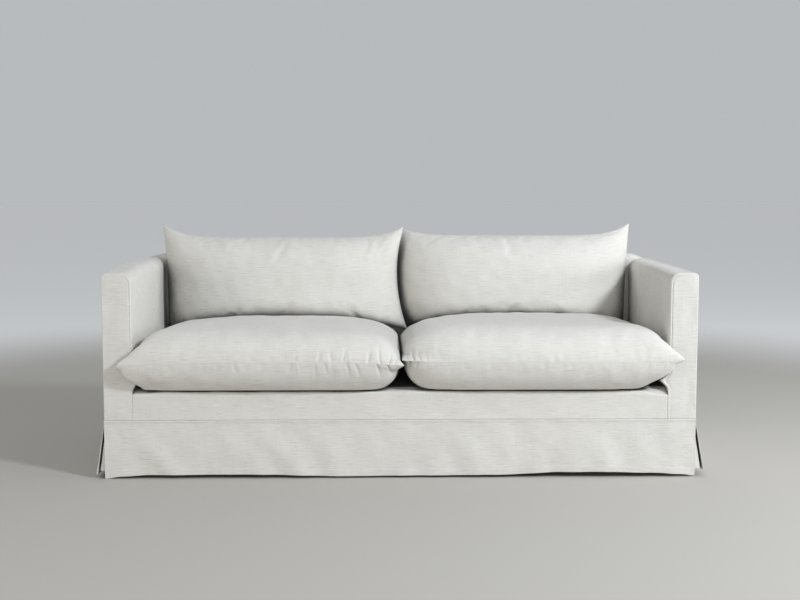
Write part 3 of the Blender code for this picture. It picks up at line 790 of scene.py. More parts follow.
# skirts
frontSkirt = {
    "foldRise": 1.3, "seed": 34, "pitch": 0.011, "pucker": 0.0006, "undulation": 0.0013, "hump": 0.17,
    # x of a point on the hem, and how far the hem hangs off the floor there
    "hem": ((-1.05, 0.0000), (-0.99, 0.0080), (-0.89, 0.0135), (-0.53, 0.0140), (-0.18, 0.0070),
            (0.07, 0.0080), (0.36, 0.0105), (0.57, 0.0185), (0.71, 0.0200), (0.89, 0.0155),
            (1.00, 0.0100), (1.05, 0.0045)),
    # folds that lean as they fall: x at the seam, x at the hem, half width, how far they stand out
    "folds": ((-0.97, -0.80, 0.050, 0.006), (-0.66, -0.52, 0.070, 0.004), (-0.52, -0.36, 0.055, 0.006),
              (-0.30, -0.22, 0.060, 0.004), (0.22, 0.30, 0.080, 0.004), (0.60, 0.72, 0.090, 0.006),
              (0.92, 0.86, 0.060, 0.003)),
}
skirtEdges = ("free", "free", "lapped", "hem")
skirtDrop = cover["skirtTop"] - cloth["gap"]


def skirtStops(start, stop, look):
    across = fineStops(start, stop, look["pitch"])
    return across, fineStops(0, skirtDrop, look["pitch"], startEdge="lapped", stopEdge="hem")


def makeFrontSkirt():
    half = cover["halfWidth"]

    def place(x, down):
        fall = down / skirtDrop
        stand = 0.0
        for atSeam, atHem, halfWidth, depth in frontSkirt["folds"]:
            off = (x - between(atSeam, atHem, fall)) / halfWidth
            stand += depth * math.exp(-off * off)
        stand *= float(ease(fall * frontSkirt["foldRise"])) * faded(x, -half, half)
        return x, front - stand, between(skirtDrop, lookUp(frontSkirt["hem"], x), fall)

    across, along = skirtStops(-half, half, frontSkirt)
    sewSheet("skirt_front", across, along, place, skirtEdges, (0, -1, 0), frontSkirt)


sideSkirt = {"flare": {"left": 0.031, "right": 0.034}, "hem": {"left": 0.015, "right": 0.024},
             "ripple": 0.003, "middleFlare": 0.72, "middleHem": 0.45, "room": 0.0055,
             "seed": 38, "pitch": 0.012, "pucker": 0.0006, "undulation": 0.0013, "hump": 0.18}


def sideFlare(side, y, fall):
    share = (y - front) / (rear - front)
    reach = between(sideSkirt["middleFlare"], 1, abs(2 * share - 1) ** 1.5)
    return sideSkirt["flare"][side] * fall * reach


def makeSideSkirt(side):
    start, stop = front + sideSkirt["room"], rear - sideSkirt["room"]

    def place(y, down):
        fall = down / skirtDrop
        share = (y - start) / (stop - start)
        lift = sideSkirt["hem"][side] * between(sideSkirt["middleHem"], 1, (2 * share - 1) ** 2)
        ripple = sideSkirt["ripple"] * fall * math.sin(4 * math.pi * share) * math.sin(math.pi * share)
        x = cover["halfWidth"] + sideFlare(side, y, fall) + ripple
        return sides[side] * x, y, between(skirtDrop, lift, fall)

    across, along = skirtStops(start, stop, sideSkirt)
    look = dict(sideSkirt, seed=sideSkirt["seed"] + sides[side])
    sewSheet("skirt_" + side, across, along, place, skirtEdges, (sides[side], 0, 0), look)


rearSkirt = {"flare": 0.008, "hem": 0.008, "hemShare": 0.4, "hemPace": 5, "ripple": 0.002, "ripplePace": 11,
             "seed": 42, "pitch": 0.013, "pucker": 0.0006, "undulation": 0.0013, "hump": 0.2}


def makeRearSkirt():
    half = cover["halfWidth"]

    def place(x, down):
        fall = down / skirtDrop
        share = rearSkirt["hemShare"]
        lift = rearSkirt["hem"] * (1 - share + share * math.sin(rearSkirt["hemPace"] * x))
        stand = fall * (rearSkirt["flare"] + rearSkirt["ripple"] * math.sin(rearSkirt["ripplePace"] * x))
        return x, rear + stand, between(skirtDrop, lift, fall)

    across, along = skirtStops(-half, half, rearSkirt)
    sewSheet("skirt_back", across, along, place, skirtEdges, (0, 1, 0), rearSkirt)


underlay = {"reach": 0.110, "hem": 0.028, "round": 0.012, "shy": 0.004, "ease": 0.035, "behind": 0.0025,
            "room": (0.0014, 0.0036), "roomRise": 3, "seed": 46, "pitch": 0.012, "pucker": 0.0004,
            "undulation": 0.0006, "hump": 0.12}


def makeUnderlay(side, end):
    way = -1 if end == "front" else 1
    radius = underlay["round"]
    straight = underlay["reach"] - radius

    def place(distance, down):
        fall = down / (skirtDrop - underlay["hem"])
        ahead, inwards = aroundBend(distance, straight, radius)
        room = underlay["behind"] + cloth["gap"]
        room += between(*underlay["room"], float(ease(fall * underlay["roomRise"])))
        y = way * (rear - room - underlay["reach"] + ahead)
        stand = sideFlare(side, y, fall) - underlay["shy"] * fall
        stand *= float(1 - ease(inwards / underlay["ease"]))
        x = cover["halfWidth"] - room + stand - inwards
        return sides[side] * x, y, between(skirtDrop, underlay["hem"], fall)

    turn = radius * math.pi / 2
    across = fineStops(0, 2 * straight + turn, underlay["pitch"], [(straight, straight + turn)],
                       startEdge="free", stopEdge="free")
    along = fineStops(0, skirtDrop - underlay["hem"], underlay["pitch"], startEdge="free", stopEdge="hem")
    look = dict(underlay, seed=underlay["seed"] + 3 * sides[side] + way)
    sewSheet("underlay_" + end + "_" + side, across, along, place, ("free", "free", "free", "hem"),
             (sides[side], way, 0), look)


makeFrontSkirt()
makeRearSkirt()
for side in sides:
    makeSideSkirt(side)
    makeUnderlay(side, "front")
    makeUnderlay(side, "rear")
print("skirts hung")


# cushions
def cushionGrid(steps):
    # cells get small towards the seams, where the covers turn in steeply
    spans = []
    for count in steps:
        share = np.linspace(-1, 1, count + 1)
        spans.append(np.sin(share * math.pi / 2))
    return np.meshgrid(*spans, indexing="ij")


def joinCovers(upper, lower, weaveUp, weaveDown):
    # two covers that share their seam, as one closed mesh
    rows, columns = upper.shape[:2]
    number = np.arange(rows * columns).reshape(rows, columns)
    inside = np.zeros((rows, columns), bool)
    inside[1:-1, 1:-1] = True
    below = number.copy()
    below[inside] = rows * columns + np.arange(inside.sum())
    points = np.concatenate([upper.reshape(-1, 3), lower[inside]])
    faces, corners = [], []
    for i in range(rows - 1):
        for j in range(columns - 1):
            ring = ((i, j), (i + 1, j), (i + 1, j + 1), (i, j + 1))
            faces.append([int(number[spot]) for spot in ring])
            corners += [weaveUp[spot] for spot in ring]
            ring = ring[::-1]
            faces.append([int(below[spot]) for spot in ring])
            corners += [weaveDown[spot] for spot in ring]
    return points, faces, corners


def runFrom(points, axis):
    # length of cloth from the first seam, and from the last, along one way of the grid
    steps = np.linalg.norm(np.diff(points, axis=axis), axis=2)
    first = np.insert(np.cumsum(steps, axis=axis), 0, 0, axis=axis)
    total = np.take(first, [-1], axis=axis)
    return first, total - first


seatLook = {
    "outward": (0, 0, 1), "fill": 0.85, "steps": (288, 92),
    "front": -0.515, "rear": cover["backFace"] - 0.006, "seam": 0.424, "belly": 0.150,
    "press": 0.030, "pressStart": 0.30, "pressRun": 0.35, "point": 0.15, "cornerPull": 4.5,
    "aheadAbove": 6.3, "aheadBelow": 4.6, "aheadCorner": 2.6, "aheadPull": 4, "slackStart": -0.8,
    "underRoom": 0.0006, "settleStart": 0.004, "settleRun": 0.02,
    "hump": 0.0018, "gather": 0.0008, "puckering": 0.64, "bow": 0.004, "wrinkling": 0.25,
}
seats = {
    "left": {
        "edges": (-0.944, 0.000), "corners": ((-0.993, -0.503, 0.411), (0.009, -0.514, 0.413)),
        "crown": 0.109, "front": (9.2, 6.0), "rear": (3.6, 4.7), "below": (8.9, 5.6),
        "cornerAbove": (2.3, 2.1), "cornerBelow": (5.9, 2.5), "tip": (0.85, 0.40), "seed": 60,
        # puckers at the front seam: x, lean, how far they run, half width, depth, face
        "puckers": (
            (-0.585, 0.010, 0.050, 0.0045, -0.007, -1), (-0.572, 0.018, 0.036, 0.0040, 0.004, -1),
            (-0.600, -0.008, 0.045, 0.0040, -0.004, 1), (-0.381, -0.006, 0.048, 0.0045, -0.006, -1),
            (-0.366, 0.006, 0.060, 0.0040, 0.004, -1), (-0.372, 0.004, 0.050, 0.0040, -0.005, 1),
            (-0.304, 0.004, 0.075, 0.0040, -0.006, -1),
            (-0.292, 0.006, 0.050, 0.0045, -0.006, 1), (-0.268, 0.012, 0.065, 0.0040, -0.006, -1),
            (-0.250, -0.004, 0.052, 0.0040, 0.004, -1), (-0.241, -0.006, 0.068, 0.0045, -0.006, 1),
            (-0.205, 0.008, 0.070, 0.0045, -0.007, 1),
            (-0.192, 0.010, 0.060, 0.0045, -0.008, -1), (-0.176, -0.006, 0.050, 0.0040, 0.004, 1),
            (-0.160, 0.014, 0.066, 0.0045, -0.008, -1), (-0.118, 0.008, 0.060, 0.0045, -0.007, 1),
            (-0.086, 0.012, 0.064, 0.0045, -0.008, -1),
            (-0.072, -0.004, 0.070, 0.0050, -0.008, 1), (-0.050, 0.018, 0.060, 0.0045, -0.008, -1),
            (-0.044, 0.006, 0.058, 0.0040, -0.007, 1), (-0.026, 0.010, 0.045, 0.0040, -0.006, 1),
        ),
    },
    "right": {
        "edges": (0.004, 0.944), "corners": ((0.003, -0.495, 0.430), (0.993, -0.503, 0.429)),
        "crown": 0.119, "front": (6.0, 8.7), "rear": (4.0, 5.0), "below": (5.4, 3.6),
        "cornerAbove": (1.5, 2.3), "cornerBelow": (3.9, 6.0), "tip": (0.10, 0.85), "seed": 70,
        "puckers": (
            (0.024, -0.004, 0.055, 0.0040, -0.007, 1), (0.034, -0.006, 0.062, 0.0045, -0.008, -1),
            (0.046, -0.006, 0.066, 0.0045, -0.009, 1), (0.060, -0.010, 0.055, 0.0040, -0.007, -1),
            (0.068, -0.008, 0.050, 0.0040, -0.006, 1), (0.094, -0.010, 0.040, 0.0045, -0.004, 1),
            (0.560, 0.004, 0.034, 0.0045, -0.002, -1), (0.870, -0.012, 0.045, 0.0045, -0.002, -1),
        ),
    },
}


def filled(aside, ahead, cornerFill, tipFill):
    # fullness out from the middle both ways; the last two say how square and how full a corner is
    spent = (aside ** cornerFill + ahead ** cornerFill) ** (1 / cornerFill)
    return np.sqrt(np.maximum(tipFill * (1 - aside) * (1 - ahead), 1 - spent))


def ended(across, pair):
    # the left or the right end's value, whichever end a point is nearer to
    return np.where(across >= 0, pair[1], pair[0])


def seatFace(row, across, along, face):
    look = seatLook
    nearness = np.abs(across)
    pull = nearness ** look["cornerPull"]
    point = ease(1 - (1 + along) / look["point"])
    (leftX, leftY, leftZ), (rightX, rightY, rightZ) = row["corners"]
    left = between(row["edges"][0], leftX, point)
    right = between(row["edges"][1], rightX, point)
    forward = between(look["front"], ended(across, (leftY, rightY)), pull)
    x = between(left, right, (across + 1) / 2)
    y = between(forward, look["rear"], (along + 1) / 2)
    seam = between(look["seam"], ended(across, (leftZ, rightZ)), pull * ease(-along))
    if face < 0:
        power = between(look["aheadBelow"], look["aheadCorner"], nearness ** look["aheadPull"])
        ahead = np.abs(along) ** power
        aside = nearness ** ended(across, row["below"])
        full = filled(aside, ahead, ended(across, row["cornerBelow"]), ended(across, row["tip"]))
        z = np.maximum(cover["deckHeight"] + look["underRoom"], seam - look["belly"] * full)
    else:
        slack = ease(along - look["slackStart"])
        shoulder = between(ended(across, row["front"]), ended(across, row["rear"]), slack)
        ahead = np.abs(along) ** look["aheadAbove"]
        aside = nearness ** shoulder
        full = filled(aside, ahead, ended(across, row["cornerAbove"]), ended(across, row["tip"]))
        pressed = look["press"] * ease((along - look["pressStart"]) / look["pressRun"])
        z = seam + (row["crown"] - pressed) * full
    return np.stack([x, y, z], axis=2) + np.array([middleX, middleY, 0.0])


# how long the filling's humps and the seam's gathers are, and how far they reach
cushionForm = {"humpLength": 0.30, "fine": 0.0009, "fineLength": 0.09, "calmEdge": 0.05,
               "gatherLength": 0.030, "patchLength": 0.22, "gatherReach": 0.020, "gatherSpread": 0.010,
               "gatherStart": 0.006, "puckerStart": 0.003, "puckerWidths": (0.55, 0.8), "puckerHold": 0.2,
               "seamFlat": 0.045}


def coverRelief(points, face, row, look):
    # slow unevenness of the filling, small gathers all round the seam, and the listed puckers
    form = cushionForm
    fromStart, fromEnd = runFrom(points, 1)
    fromLeft, fromRight = runFrom(points, 0)
    fromEnds = np.minimum(fromStart, fromEnd)
    fromSides = np.minimum(fromLeft, fromRight)
    first, second = points[..., 0], fromStart
    seed = row["seed"] + face
    calm = ease(np.minimum(fromEnds, fromSides) / form["calmEdge"])
    lift = look["hump"] * calm * uneven(first, second, form["humpLength"], seed)
    lift += form["fine"] * calm * uneven(first, second, form["fineLength"], seed + 4)
    for distance, where, share in ((fromStart, first, 1.0), (fromEnd, first, 1.0),
                                   (fromLeft, second, 0.5), (fromRight, second, 0.5)):
        gather = uneven(where, 0 * where, form["gatherLength"], seed + 9)
        patchy = 0.5 + 0.5 * uneven(where, 0 * where, form["patchLength"], seed + 13)
        fade = np.exp(-distance / (form["gatherReach"] + form["gatherSpread"] * patchy))
        lift += share * look["gather"] * gather * patchy * fade * ease(distance / form["gatherStart"])
    narrow, widening = form["puckerWidths"]
    hold = form["puckerHold"]
    for x, lean, length, halfWidth, depth, side in row["puckers"]:
        if side != face:
            continue
        share = second / length
        bowed = look["bow"] * np.sin(math.pi * np.clip(share, 0, 1)) * (1 if lean > 0 else -1)
        away = (first - x - middleX - lean * share - bowed) / (halfWidth * (narrow + widening * share))
        fade = ease(second / form["puckerStart"]) * (1 - ease((share - hold) / (1 - hold)))
        lift += look["puckering"] * depth * fade * np.exp(-away ** 2)
    return lift * ease(np.hypot(fromEnds, fromSides) / form["seamFlat"])


# how the covers settle on their filling; only wrinkles are kept, so the form stays as cut
settling = {
    "steps": (96, 60), "frames": 20, "cap": 0.012, "blurs": 22,
    "cloth": {"quality": 5, "tension_stiffness": 40.0, "compression_stiffness": 40.0,
              "bending_stiffness": 0.4, "use_pressure": True, "uniform_pressure_force": 4.0,
              "shrink_min": -0.015},
}


def blurred(grid, passes):
    # averages with its neighbours, again and again, the outer rim held
    soft = grid.copy()
    for _ in range(passes):
        inner = soft[:-2, 1:-1] + soft[2:, 1:-1] + soft[1:-1, :-2] + soft[1:-1, 2:]
        soft[1:-1, 1:-1] = 0.2 * soft[1:-1, 1:-1] + 0.2 * inner
    return soft


def refined(grid, count):
    # a smooth curve through the rows of a grid, read at more places
    spots = np.linspace(0, len(grid) - 1, count)
    low = np.minimum(spots.astype(int), len(grid) - 2)
    share = (spots - low)[:, None, None]
    last = len(grid) - 1
    before, first, second, after = [grid[np.clip(low + step, 0, last)] for step in (-1, 0, 1, 2)]
    return first + 0.5 * share * (second - before + share * (
        2 * before - 5 * first + 4 * second - after + share * (3 * (first - second) + after - before)))


def settled(shape, row, node):
    # inflates the two covers of a cushion as cloth, its seam held, and returns their wrinkles
    across, along = cushionGrid(settling["steps"])
    grids = {face: shape(row, across, along, face) for face in (1, -1)}
    weave = np.zeros(across.shape + (2,))
    verts, polygons, _ = joinCovers(grids[1], grids[-1], weave, weave)
    mesh = bpy.data.meshes.new(node + "_trial")
    mesh.from_pydata([tuple(vert) for vert in verts], [], polygons)
    piece = intoScene(node + "_trial", mesh)
    held = piece.vertex_groups.new(name="seam")
    number = np.arange(across.size).reshape(across.shape)
    rim = set(number[0]) | set(number[-1]) | set(number[:, 0]) | set(number[:, -1])
    held.add([int(spot) for spot in rim], 1.0, "REPLACE")
    filling = piece.modifiers.new("settling", "CLOTH")
    fabric = filling.settings
    fabric.vertex_group_mass = "seam"
    for name, value in settling["cloth"].items():
        setattr(fabric, name, value)
    fabric.effector_weights.gravity = 0
    filling.collision_settings.use_collision = False
    filling.point_cache.frame_start = 1
    filling.point_cache.frame_end = settling["frames"]
    for moment in range(1, settling["frames"] + 1):
        bpy.context.scene.frame_set(moment)
    graph = bpy.context.evaluated_depsgraph_get()
    moved = np.empty(len(verts) * 3)
    piece.evaluated_get(graph).data.vertices.foreach_get("co", moved)
    moved = moved.reshape(-1, 3) - verts
    bpy.data.objects.remove(piece)
    bpy.context.scene.frame_set(1)
    far = np.linalg.norm(moved, axis=1, keepdims=True)
    moved *= np.minimum(1, settling["cap"] / np.maximum(far, 1e-9))
    upper = moved[:across.size].reshape(across.shape + (3,))
    lower = np.zeros_like(upper)
    lower[1:-1, 1:-1] = moved[across.size:].reshape(across.shape[0] - 2, across.shape[1] - 2, 3)
    print(node, "moved", round(float(far.mean()) * 1000, 1), "mm, at most", round(float(far.max()) * 1000, 1))
    return {face: grid - blurred(grid, settling["blurs"]) for face, grid in ((1, upper), (-1, lower))}


def wrinkled(wrinkles, face, across):
    grid = refined(wrinkles[face], across.shape[0])
    return refined(grid.transpose(1, 0, 2), across.shape[1]).transpose(1, 0, 2)


def seamLoop(upper):
    # the knife edge, once round the cushion
    return list(upper[:, 0]) + list(upper[-1, 1:]) + list(upper[-2::-1, -1]) + list(upper[0, -2:0:-1])


seamLoops = {}


def makeCushion(node, row, look, shape, settle, material):
    # the two covers of a cushion, with their gathers and wrinkles, settled on what lies under them
    across, along = cushionGrid(look["steps"])
    wrinkles = settled(shape, row, node)
    covers, weaves = {}, {}
    for face in (1, -1):
        points = shape(row, across, along, face)
        normals, _ = gridNormals(points, np.array(look["outward"]) * face)
        shaped = points + normals * coverRelief(points, face, row, look)[..., None]
        shaped += look["wrinkling"] * wrinkled(wrinkles, face, across)
        shaped[..., 0] = np.clip(shaped[..., 0], points[..., 0].min(), points[..., 0].max())
        covers[face] = settle(points, shaped, face)
        weave = np.stack([points[..., 0], runFrom(points, 1)[0] * face], axis=2)
        weaves[face] = weave + row["seed"] * cloth["weaveShift"]
    verts, polygons, corners = joinCovers(covers[1], covers[-1], weaves[1], weaves[-1])
    piece = toObject(node + "_filled", verts, polygons, corners, material, 60)
    dress(piece, node)
    seamLoops[node] = seamLoop(covers[1])
    return piece


def makeSeat(side):
    lowest = cover["deckHeight"]

    def settle(points, shaped, face):
        # the underside lies flat on the deck cloth
        if face < 0:
            free = ease((points[..., 2] - lowest - seatLook["settleStart"]) / seatLook["settleRun"])
            shaped = between(points, shaped, free[..., None])
        shaped[..., 2] = np.maximum(shaped[..., 2], lowest + seatLook["underRoom"])
        return shaped

    # the top and the underside take copies of the linen that differ only in how deep their painted shade
    # reaches
    piece = makeCushion("seat_cushion_" + side, seats[side], seatLook, seatFace, settle, linens["seatTop"])
    piece.data.materials.append(linens["seatUnder"])
    # joinCovers lays upper and lower faces turn by turn
    piece.data.polygons.foreach_set("material_index", [0, 1] * (len(piece.data.polygons) // 2))
    return piece


backLook = {
    "outward": (0, -1, 0), "fill": 0.7, "steps": (190, 84),
    "foot": 0.150, "lean": 0.055, "bottom": 0.490, "bulge": 0.120, "cornerPull": 6, "footPull": 3,
    "set": 0.258, "setPull": 3.5, "sideFullness": (3.2, 0.55), "below": (4.5, 0.52), "above": (2.6, 0.52),
    "backRoom": 0.003, "restRoom": 0.0015, "restReach": 0.01, "hump": 0.0030, "gather": 0.0012,
    "puckering": 1.0, "bow": 0.006, "wrinkling": 0.5,
}
backs = {
    "left": {
        "edges": ((-0.939, -0.937, -0.950), (0.034, -0.006, 0.020)), "setBack": (1, 0), "top": 0.826,
        "ears": (0.874, 0.870), "feet": (0.440, 0.464), "seed": 80,
        # gathers over the lower seam, in the same columns as the seat cushions' puckers
        "puckers": (
            (-0.900, -0.006, 0.100, 0.0050, -0.008, 1), (-0.884, 0.006, 0.060, 0.0045, 0.004, 1),
            (-0.868, 0.010, 0.115, 0.0055, -0.010, 1), (-0.846, 0.008, 0.085, 0.0045, -0.007, 1),
            (-0.805, 0.012, 0.105, 0.0055, -0.010, 1), (-0.775, 0.012, 0.095, 0.0050, -0.009, 1),
            (-0.752, 0.008, 0.080, 0.0045, 0.004, 1), (-0.700, 0.010, 0.080, 0.0055, -0.007, 1),
        ),
    },
    "right": {
        "edges": ((0.024, -0.018, 0.026), (0.925, 0.928, 0.940)), "setBack": (1, 1), "top": 0.834,
        "ears": (0.856, 0.881), "feet": (0.450, 0.440), "seed": 90,
        "puckers": (
            (0.070, 0.010, 0.060, 0.0050, -0.005, 1), (0.100, 0.008, 0.050, 0.0050, -0.004, 1),
            (0.780, -0.010, 0.060, 0.0055, -0.004, 1), (0.840, -0.008, 0.070, 0.0055, -0.005, 1),
        ),
    },
}


def backFaceGrid(row, across, along, face):
    look = backLook
    nearness = np.abs(across)
    edges = []
    for foot, middle, ear in row["edges"]:
        straight = between(foot, ear, (along + 1) / 2)
        edges.append(straight + (middle - (foot + ear) / 2) * (1 - along * along))
    x = between(edges[0], edges[1], (across + 1) / 2)
    top = between(row["top"], ended(across, row["ears"]), nearness ** look["cornerPull"])
    bottom = between(look["bottom"], ended(across, row["feet"]), nearness ** look["footPull"])
    z = between(bottom, top, (along + 1) / 2)
    flatness, edge = look["sideFullness"]
    full = (1 - nearness ** flatness) ** edge
    belowFull = (1 - np.abs(along) ** look["below"][0]) ** look["below"][1]
    aboveFull = (1 - np.abs(along) ** look["above"][0]) ** look["above"][1]
    full = full * np.where(along < 0, belowFull, aboveFull)
    middle = look["foot"] + look["lean"] * (along + 1) / 2
    middle = between(middle, look["set"], ended(across, row["setBack"]) * nearness ** look["setPull"])
    y = np.minimum(middle - face * look["bulge"] * full, cover["backFace"] - look["backRoom"])
    return np.stack([x, y, z], axis=2) + np.array([middleX, middleY, 0.0])


def makeBack(side, tree):
    seatTop = max(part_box("seat_cushion_" + end)[1].z for end in sides)

    def settle(points, shaped, face):
        # the cushion leans on the inside back and stands on the seat cushions
        shaped[..., 1] = np.minimum(shaped[..., 1], cover["backFace"] + middleY - backLook["backRoom"])
        for spot in zip(*np.nonzero(shaped[..., 2] < seatTop + backLook["restReach"])):
            x, y, z = shaped[spot]
            hit = tree.ray_cast(Vector((x, y, 1.0)), Vector((0, 0, -1)))[0]
            floorZ = hit.z if hit else cover["deckHeight"]
            shaped[spot][2] = max(z, floorZ + backLook["restRoom"])
        return shaped

    makeCushion("back_cushion_" + side, backs[side], backLook, backFaceGrid, settle, linens["back"])


tree = searchTree([makeSeat(side) for side in sides])
for side in sides:
    makeBack(side, tree)
print("cushions filled")


# topstitching and seam ridges
stitching = {"pitch": 0.0050, "length": 0.0034, "radius": 0.00045, "sides": 6, "seed": 5, "unevenness": 0.12}
seamRidge = {"radius": 0.0006, "sides": 8, "pitch": 0.006}


def newTree(name, sizes):
    # an empty Geometry Nodes tree with named sizes; returns it with its start and end nodes
    tree = bpy.data.node_groups.new(name, "GeometryNodeTree")
    tree.interface.new_socket("Line", in_out="INPUT", socket_type="NodeSocketGeometry")
    for label, value in sizes.items():
        kind = "NodeSocketInt" if isinstance(value, int) else "NodeSocketFloat"
        tree.interface.new_socket(label, in_out="INPUT", socket_type=kind)
    tree.interface.new_socket("Geometry", in_out="OUTPUT", socket_type="NodeSocketGeometry")
    return tree, tree.nodes.new("NodeGroupInput"), tree.nodes.new("NodeGroupOutput")


def finishTree(tree, end, shape, material):
    real = addNode(tree, "GeometryNodeRealizeInstances", links={"Geometry": shape})
    dressed = addNode(tree, "GeometryNodeSetMaterial", links={"Geometry": (real, 0)})
    dressed.inputs["Material"].default_value = material
    tree.links.new(dressed.outputs[0], end.inputs[0])


def stitchTree():
    # short rods laid along a line, one for each stitch
    tree, start, end = newTree("topstitching", stitching)
    line = addNode(tree, "GeometryNodeMeshToCurve", links={"Mesh": (start, "Line")})
    spots = addNode(tree, "GeometryNodeResampleCurve", {"mode": "LENGTH"}, {
        "Curve": (line, 0), "Length": (start, "pitch")})
    ahead = addNode(tree, "GeometryNodeInputTangent")
    turned = addNode(tree, "FunctionNodeAlignRotationToVector", {"axis": "Z"}, {"Vector": (ahead, 0)})
    rod = addNode(tree, "GeometryNodeMeshCylinder", {"fill_type": "NGON"}, {
        "Vertices": (start, "sides"), "Radius": (start, "radius"), "Depth": (start, "length")})
    least = addNode(tree, "ShaderNodeMath", {"operation": "SUBTRACT"}, {0: 1.0, 1: (start, "unevenness")})
    longer = addNode(tree, "FunctionNodeRandomValue", {"data_type": "FLOAT"}, {
        2: (least, 0), 3: 1.0, "Seed": (start, "seed")})
    size = addNode(tree, "ShaderNodeCombineXYZ", links={0: 1.0, 1: 1.0, 2: (longer, 1)})
    laid = addNode(tree, "GeometryNodeInstanceOnPoints", links={
        "Points": (spots, 0), "Instance": (rod, 0), "Rotation": (turned, 0), "Scale": (size, 0)})
    finishTree(tree, end, (laid, 0), threadMaterial)
    return tree


def ridgeTree():
    # the turned-in allowance stands as a fine ridge along the knife edge
    tree, start, end = newTree("seam ridge", seamRidge)
    line = addNode(tree, "GeometryNodeMeshToCurve", links={"Mesh": (start, "Line")})
    even = addNode(tree, "GeometryNodeResampleCurve", {"mode": "LENGTH"}, {
        "Curve": (line, 0), "Length": (start, "pitch")})
    ring = addNode(tree, "GeometryNodeCurvePrimitiveCircle", {"mode": "RADIUS"}, {
        "Resolution": (start, "sides"), "Radius": (start, "radius")})
    tube = addNode(tree, "GeometryNodeCurveToMesh", links={"Curve": (even, 0), "Profile Curve": (ring, 0)})
    place = addNode(tree, "GeometryNodeInputPosition")
    apart = addNode(tree, "ShaderNodeSeparateXYZ", links={0: (place, 0)})
    sunk = addNode(tree, "ShaderNodeMath", {"operation": "ADD"}, {0: (apart, 1), 1: (apart, 2)})
    flat = addNode(tree, "ShaderNodeCombineXYZ", links={0: (apart, 0), 1: (sunk, 0)})
    woven = addNode(tree, "GeometryNodeStoreNamedAttribute", {"data_type": "FLOAT2", "domain": "CORNER"}, {
        "Geometry": (tube, 0), "Name": "weave", "Value": (flat, 0)})
    finishTree(tree, end, (woven, 0), linens["back"])
    return tree


def grown(name, rows, closed, tree, sizes):
    # the tree's shape along every row, as one plain mesh
    points, edges = [], []
    for row in rows:
        start = len(points)
        points += [tuple(point) for point in row]
        edges += [(spot, spot + 1) for spot in range(start, len(points) - 1)]
        if closed:
            edges.append((len(points) - 1, start))
    guide = bpy.data.meshes.new(name + "_line")
    guide.from_pydata(points, edges, [])
    holder = intoScene(name + "_line", guide)
    modifier = holder.modifiers.new("grow", "NODES")
    modifier.node_group = tree
    for item in tree.interface.items_tree:
        if item.in_out == "INPUT" and item.name in sizes:
            modifier[item.identifier] = sizes[item.name]
    graph = bpy.context.evaluated_depsgraph_get()
    mesh = bpy.data.meshes.new_from_object(holder.evaluated_get(graph), depsgraph=graph)
    bpy.data.objects.remove(holder)
    mesh.name = name
    mesh.shade_smooth()
    mesh.set_sharp_from_angle(angle=math.radians(60))
    piece = intoScene(name, mesh)
    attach(piece, "root")
    return piece


topstitching = grown("topstitching", stitchRows, False, stitchTree(), stitching)
ridge = ridgeTree()
for name, loop in seamLoops.items():
    grown(name + "_seam", [loop], True, ridge, seamRidge)
print("topstitched")


# camera, floor and light
camera = {"lens": 55.21, "place": (-0.0765, -4.705, 1.0472), "down": 5.47, "turned": 0.95}
lens = bpy.data.cameras.new("camera")
lens.sensor_width = 36.0
lens.lens = camera["lens"]
viewer = intoScene("camera", lens)
viewer.location = camera["place"]
viewer.rotation_euler = (math.radians(90 - camera["down"]), 0, math.radians(-camera["turned"]))
bpy.context.scene.camera = viewer

studio = {
    "floor": "#BCB9B3", "farFloor": "#FFFFFF", "reach": 60.0, "floorRoughness": 0.9, "floorSpecular": 0.1,
    # the floor pales over these distances behind the sofa and in front of it
    "fadeBehind": (2.7, 5.0), "fadeAhead": (9.0, 18.0), "turnOver": (-3.0, 0.5),
    "air": "#DDE0E3", "airStrength": 0.66,
    # where each lamp hangs, where it points, its size, power and colour
    "lamps": (
        ("key", (3.6, -3.5, 3.2), (0.1, 0.0, 0.4), 0.8, 196, "#F3F8FF"),
        ("side", (4.8, -0.9, 1.2), (0.0, 0.0, 0.4), 1.5, 58, "#FFFFFF"),
        ("bounce", (-3.6, -3.4, 1.2), (0.0, 0.0, 0.5), 2.0, 34, "#FFF5E9"),
        ("front", (0.4, -6.5, 0.7), (0.0, 0.0, 0.3), 1.6, 23, "#FFFFFF"),
    ),
}


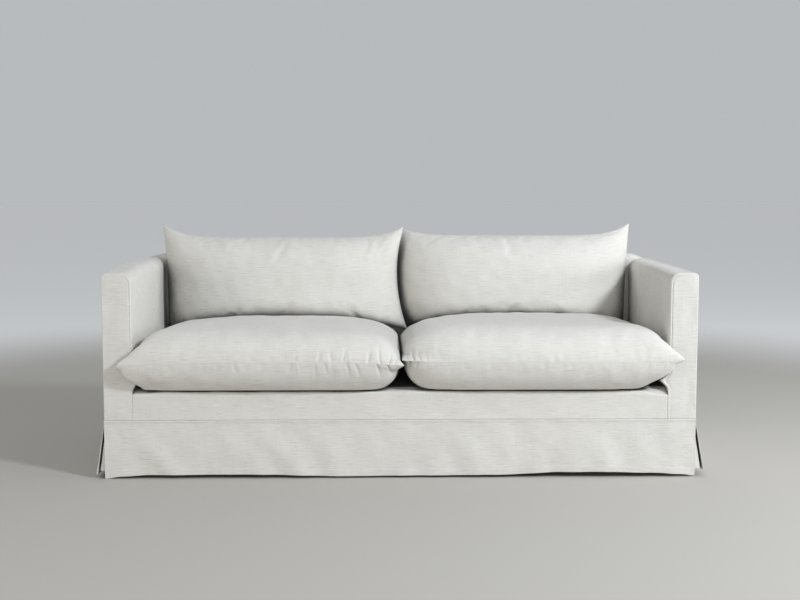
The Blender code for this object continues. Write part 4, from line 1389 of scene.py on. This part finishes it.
def makeFloor():
    # one sweep of plain pale floor, which fades to paler far behind the sofa and beside it
    bpy.ops.mesh.primitive_plane_add(size=studio["reach"] * 2)
    floor = bpy.context.object
    floor.name = "floor"
    material = bpy.data.materials.new("Plain pale floor")
    material.use_nodes = True
    tree = material.node_tree
    place = addNode(tree, "ShaderNodeTexCoord")
    away = addNode(tree, "ShaderNodeVectorMath", {"operation": "LENGTH"}, {0: (place, "Object")})
    axes = addNode(tree, "ShaderNodeSeparateXYZ", links={0: (place, "Object")})

    fade = {}
    for name, source, output, (near, far) in (("behind", away, "Value", studio["fadeBehind"]),
                                              ("ahead", away, "Value", studio["fadeAhead"]),
                                              ("side", axes, "Y", studio["turnOver"])):
        fade[name] = addNode(tree, "ShaderNodeMapRange", {"interpolation_type": "SMOOTHSTEP"}, {
            "Value": (source, output), "From Min": near, "From Max": far})
    paler = addNode(tree, "ShaderNodeMix", {"data_type": "FLOAT"}, {
        0: (fade["side"], 0), 2: (fade["ahead"], 0), 3: (fade["behind"], 0)})
    tone = addNode(tree, "ShaderNodeMix", {"data_type": "RGBA"}, {
        0: (paler, 0), 6: srgb(studio["floor"]), 7: srgb(studio["farFloor"])})
    shader = tree.nodes["Principled BSDF"]
    tree.links.new(tone.outputs[2], shader.inputs["Base Color"])
    shader.inputs["Roughness"].default_value = studio["floorRoughness"]
    shader.inputs["Specular IOR Level"].default_value = studio["floorSpecular"]
    floor.data.materials.append(material)


def makeLight():
    world = bpy.data.worlds.new("studio air")
    bpy.context.scene.world = world
    world.use_nodes = True
    bpy.context.scene.view_settings.view_transform = "Standard"
    background = world.node_tree.nodes["Background"]
    background.inputs["Color"].default_value = srgb(studio["air"])
    background.inputs["Strength"].default_value = studio["airStrength"]
    for name, place, target, size, power, tint in studio["lamps"]:
        lamp = bpy.data.lights.new(name, "AREA")
        lamp.shape = "DISK"
        lamp.size = size
        lamp.energy = power
        lamp.color = srgb(tint)[:3]
        holder = intoScene(name, lamp)
        holder.location = place
        holder.visible_camera = False
        holder.rotation_euler = (Vector(target) - Vector(place)).to_track_quat("-Z", "Y").to_euler()


makeFloor()
makeLight()
print("studio lit")
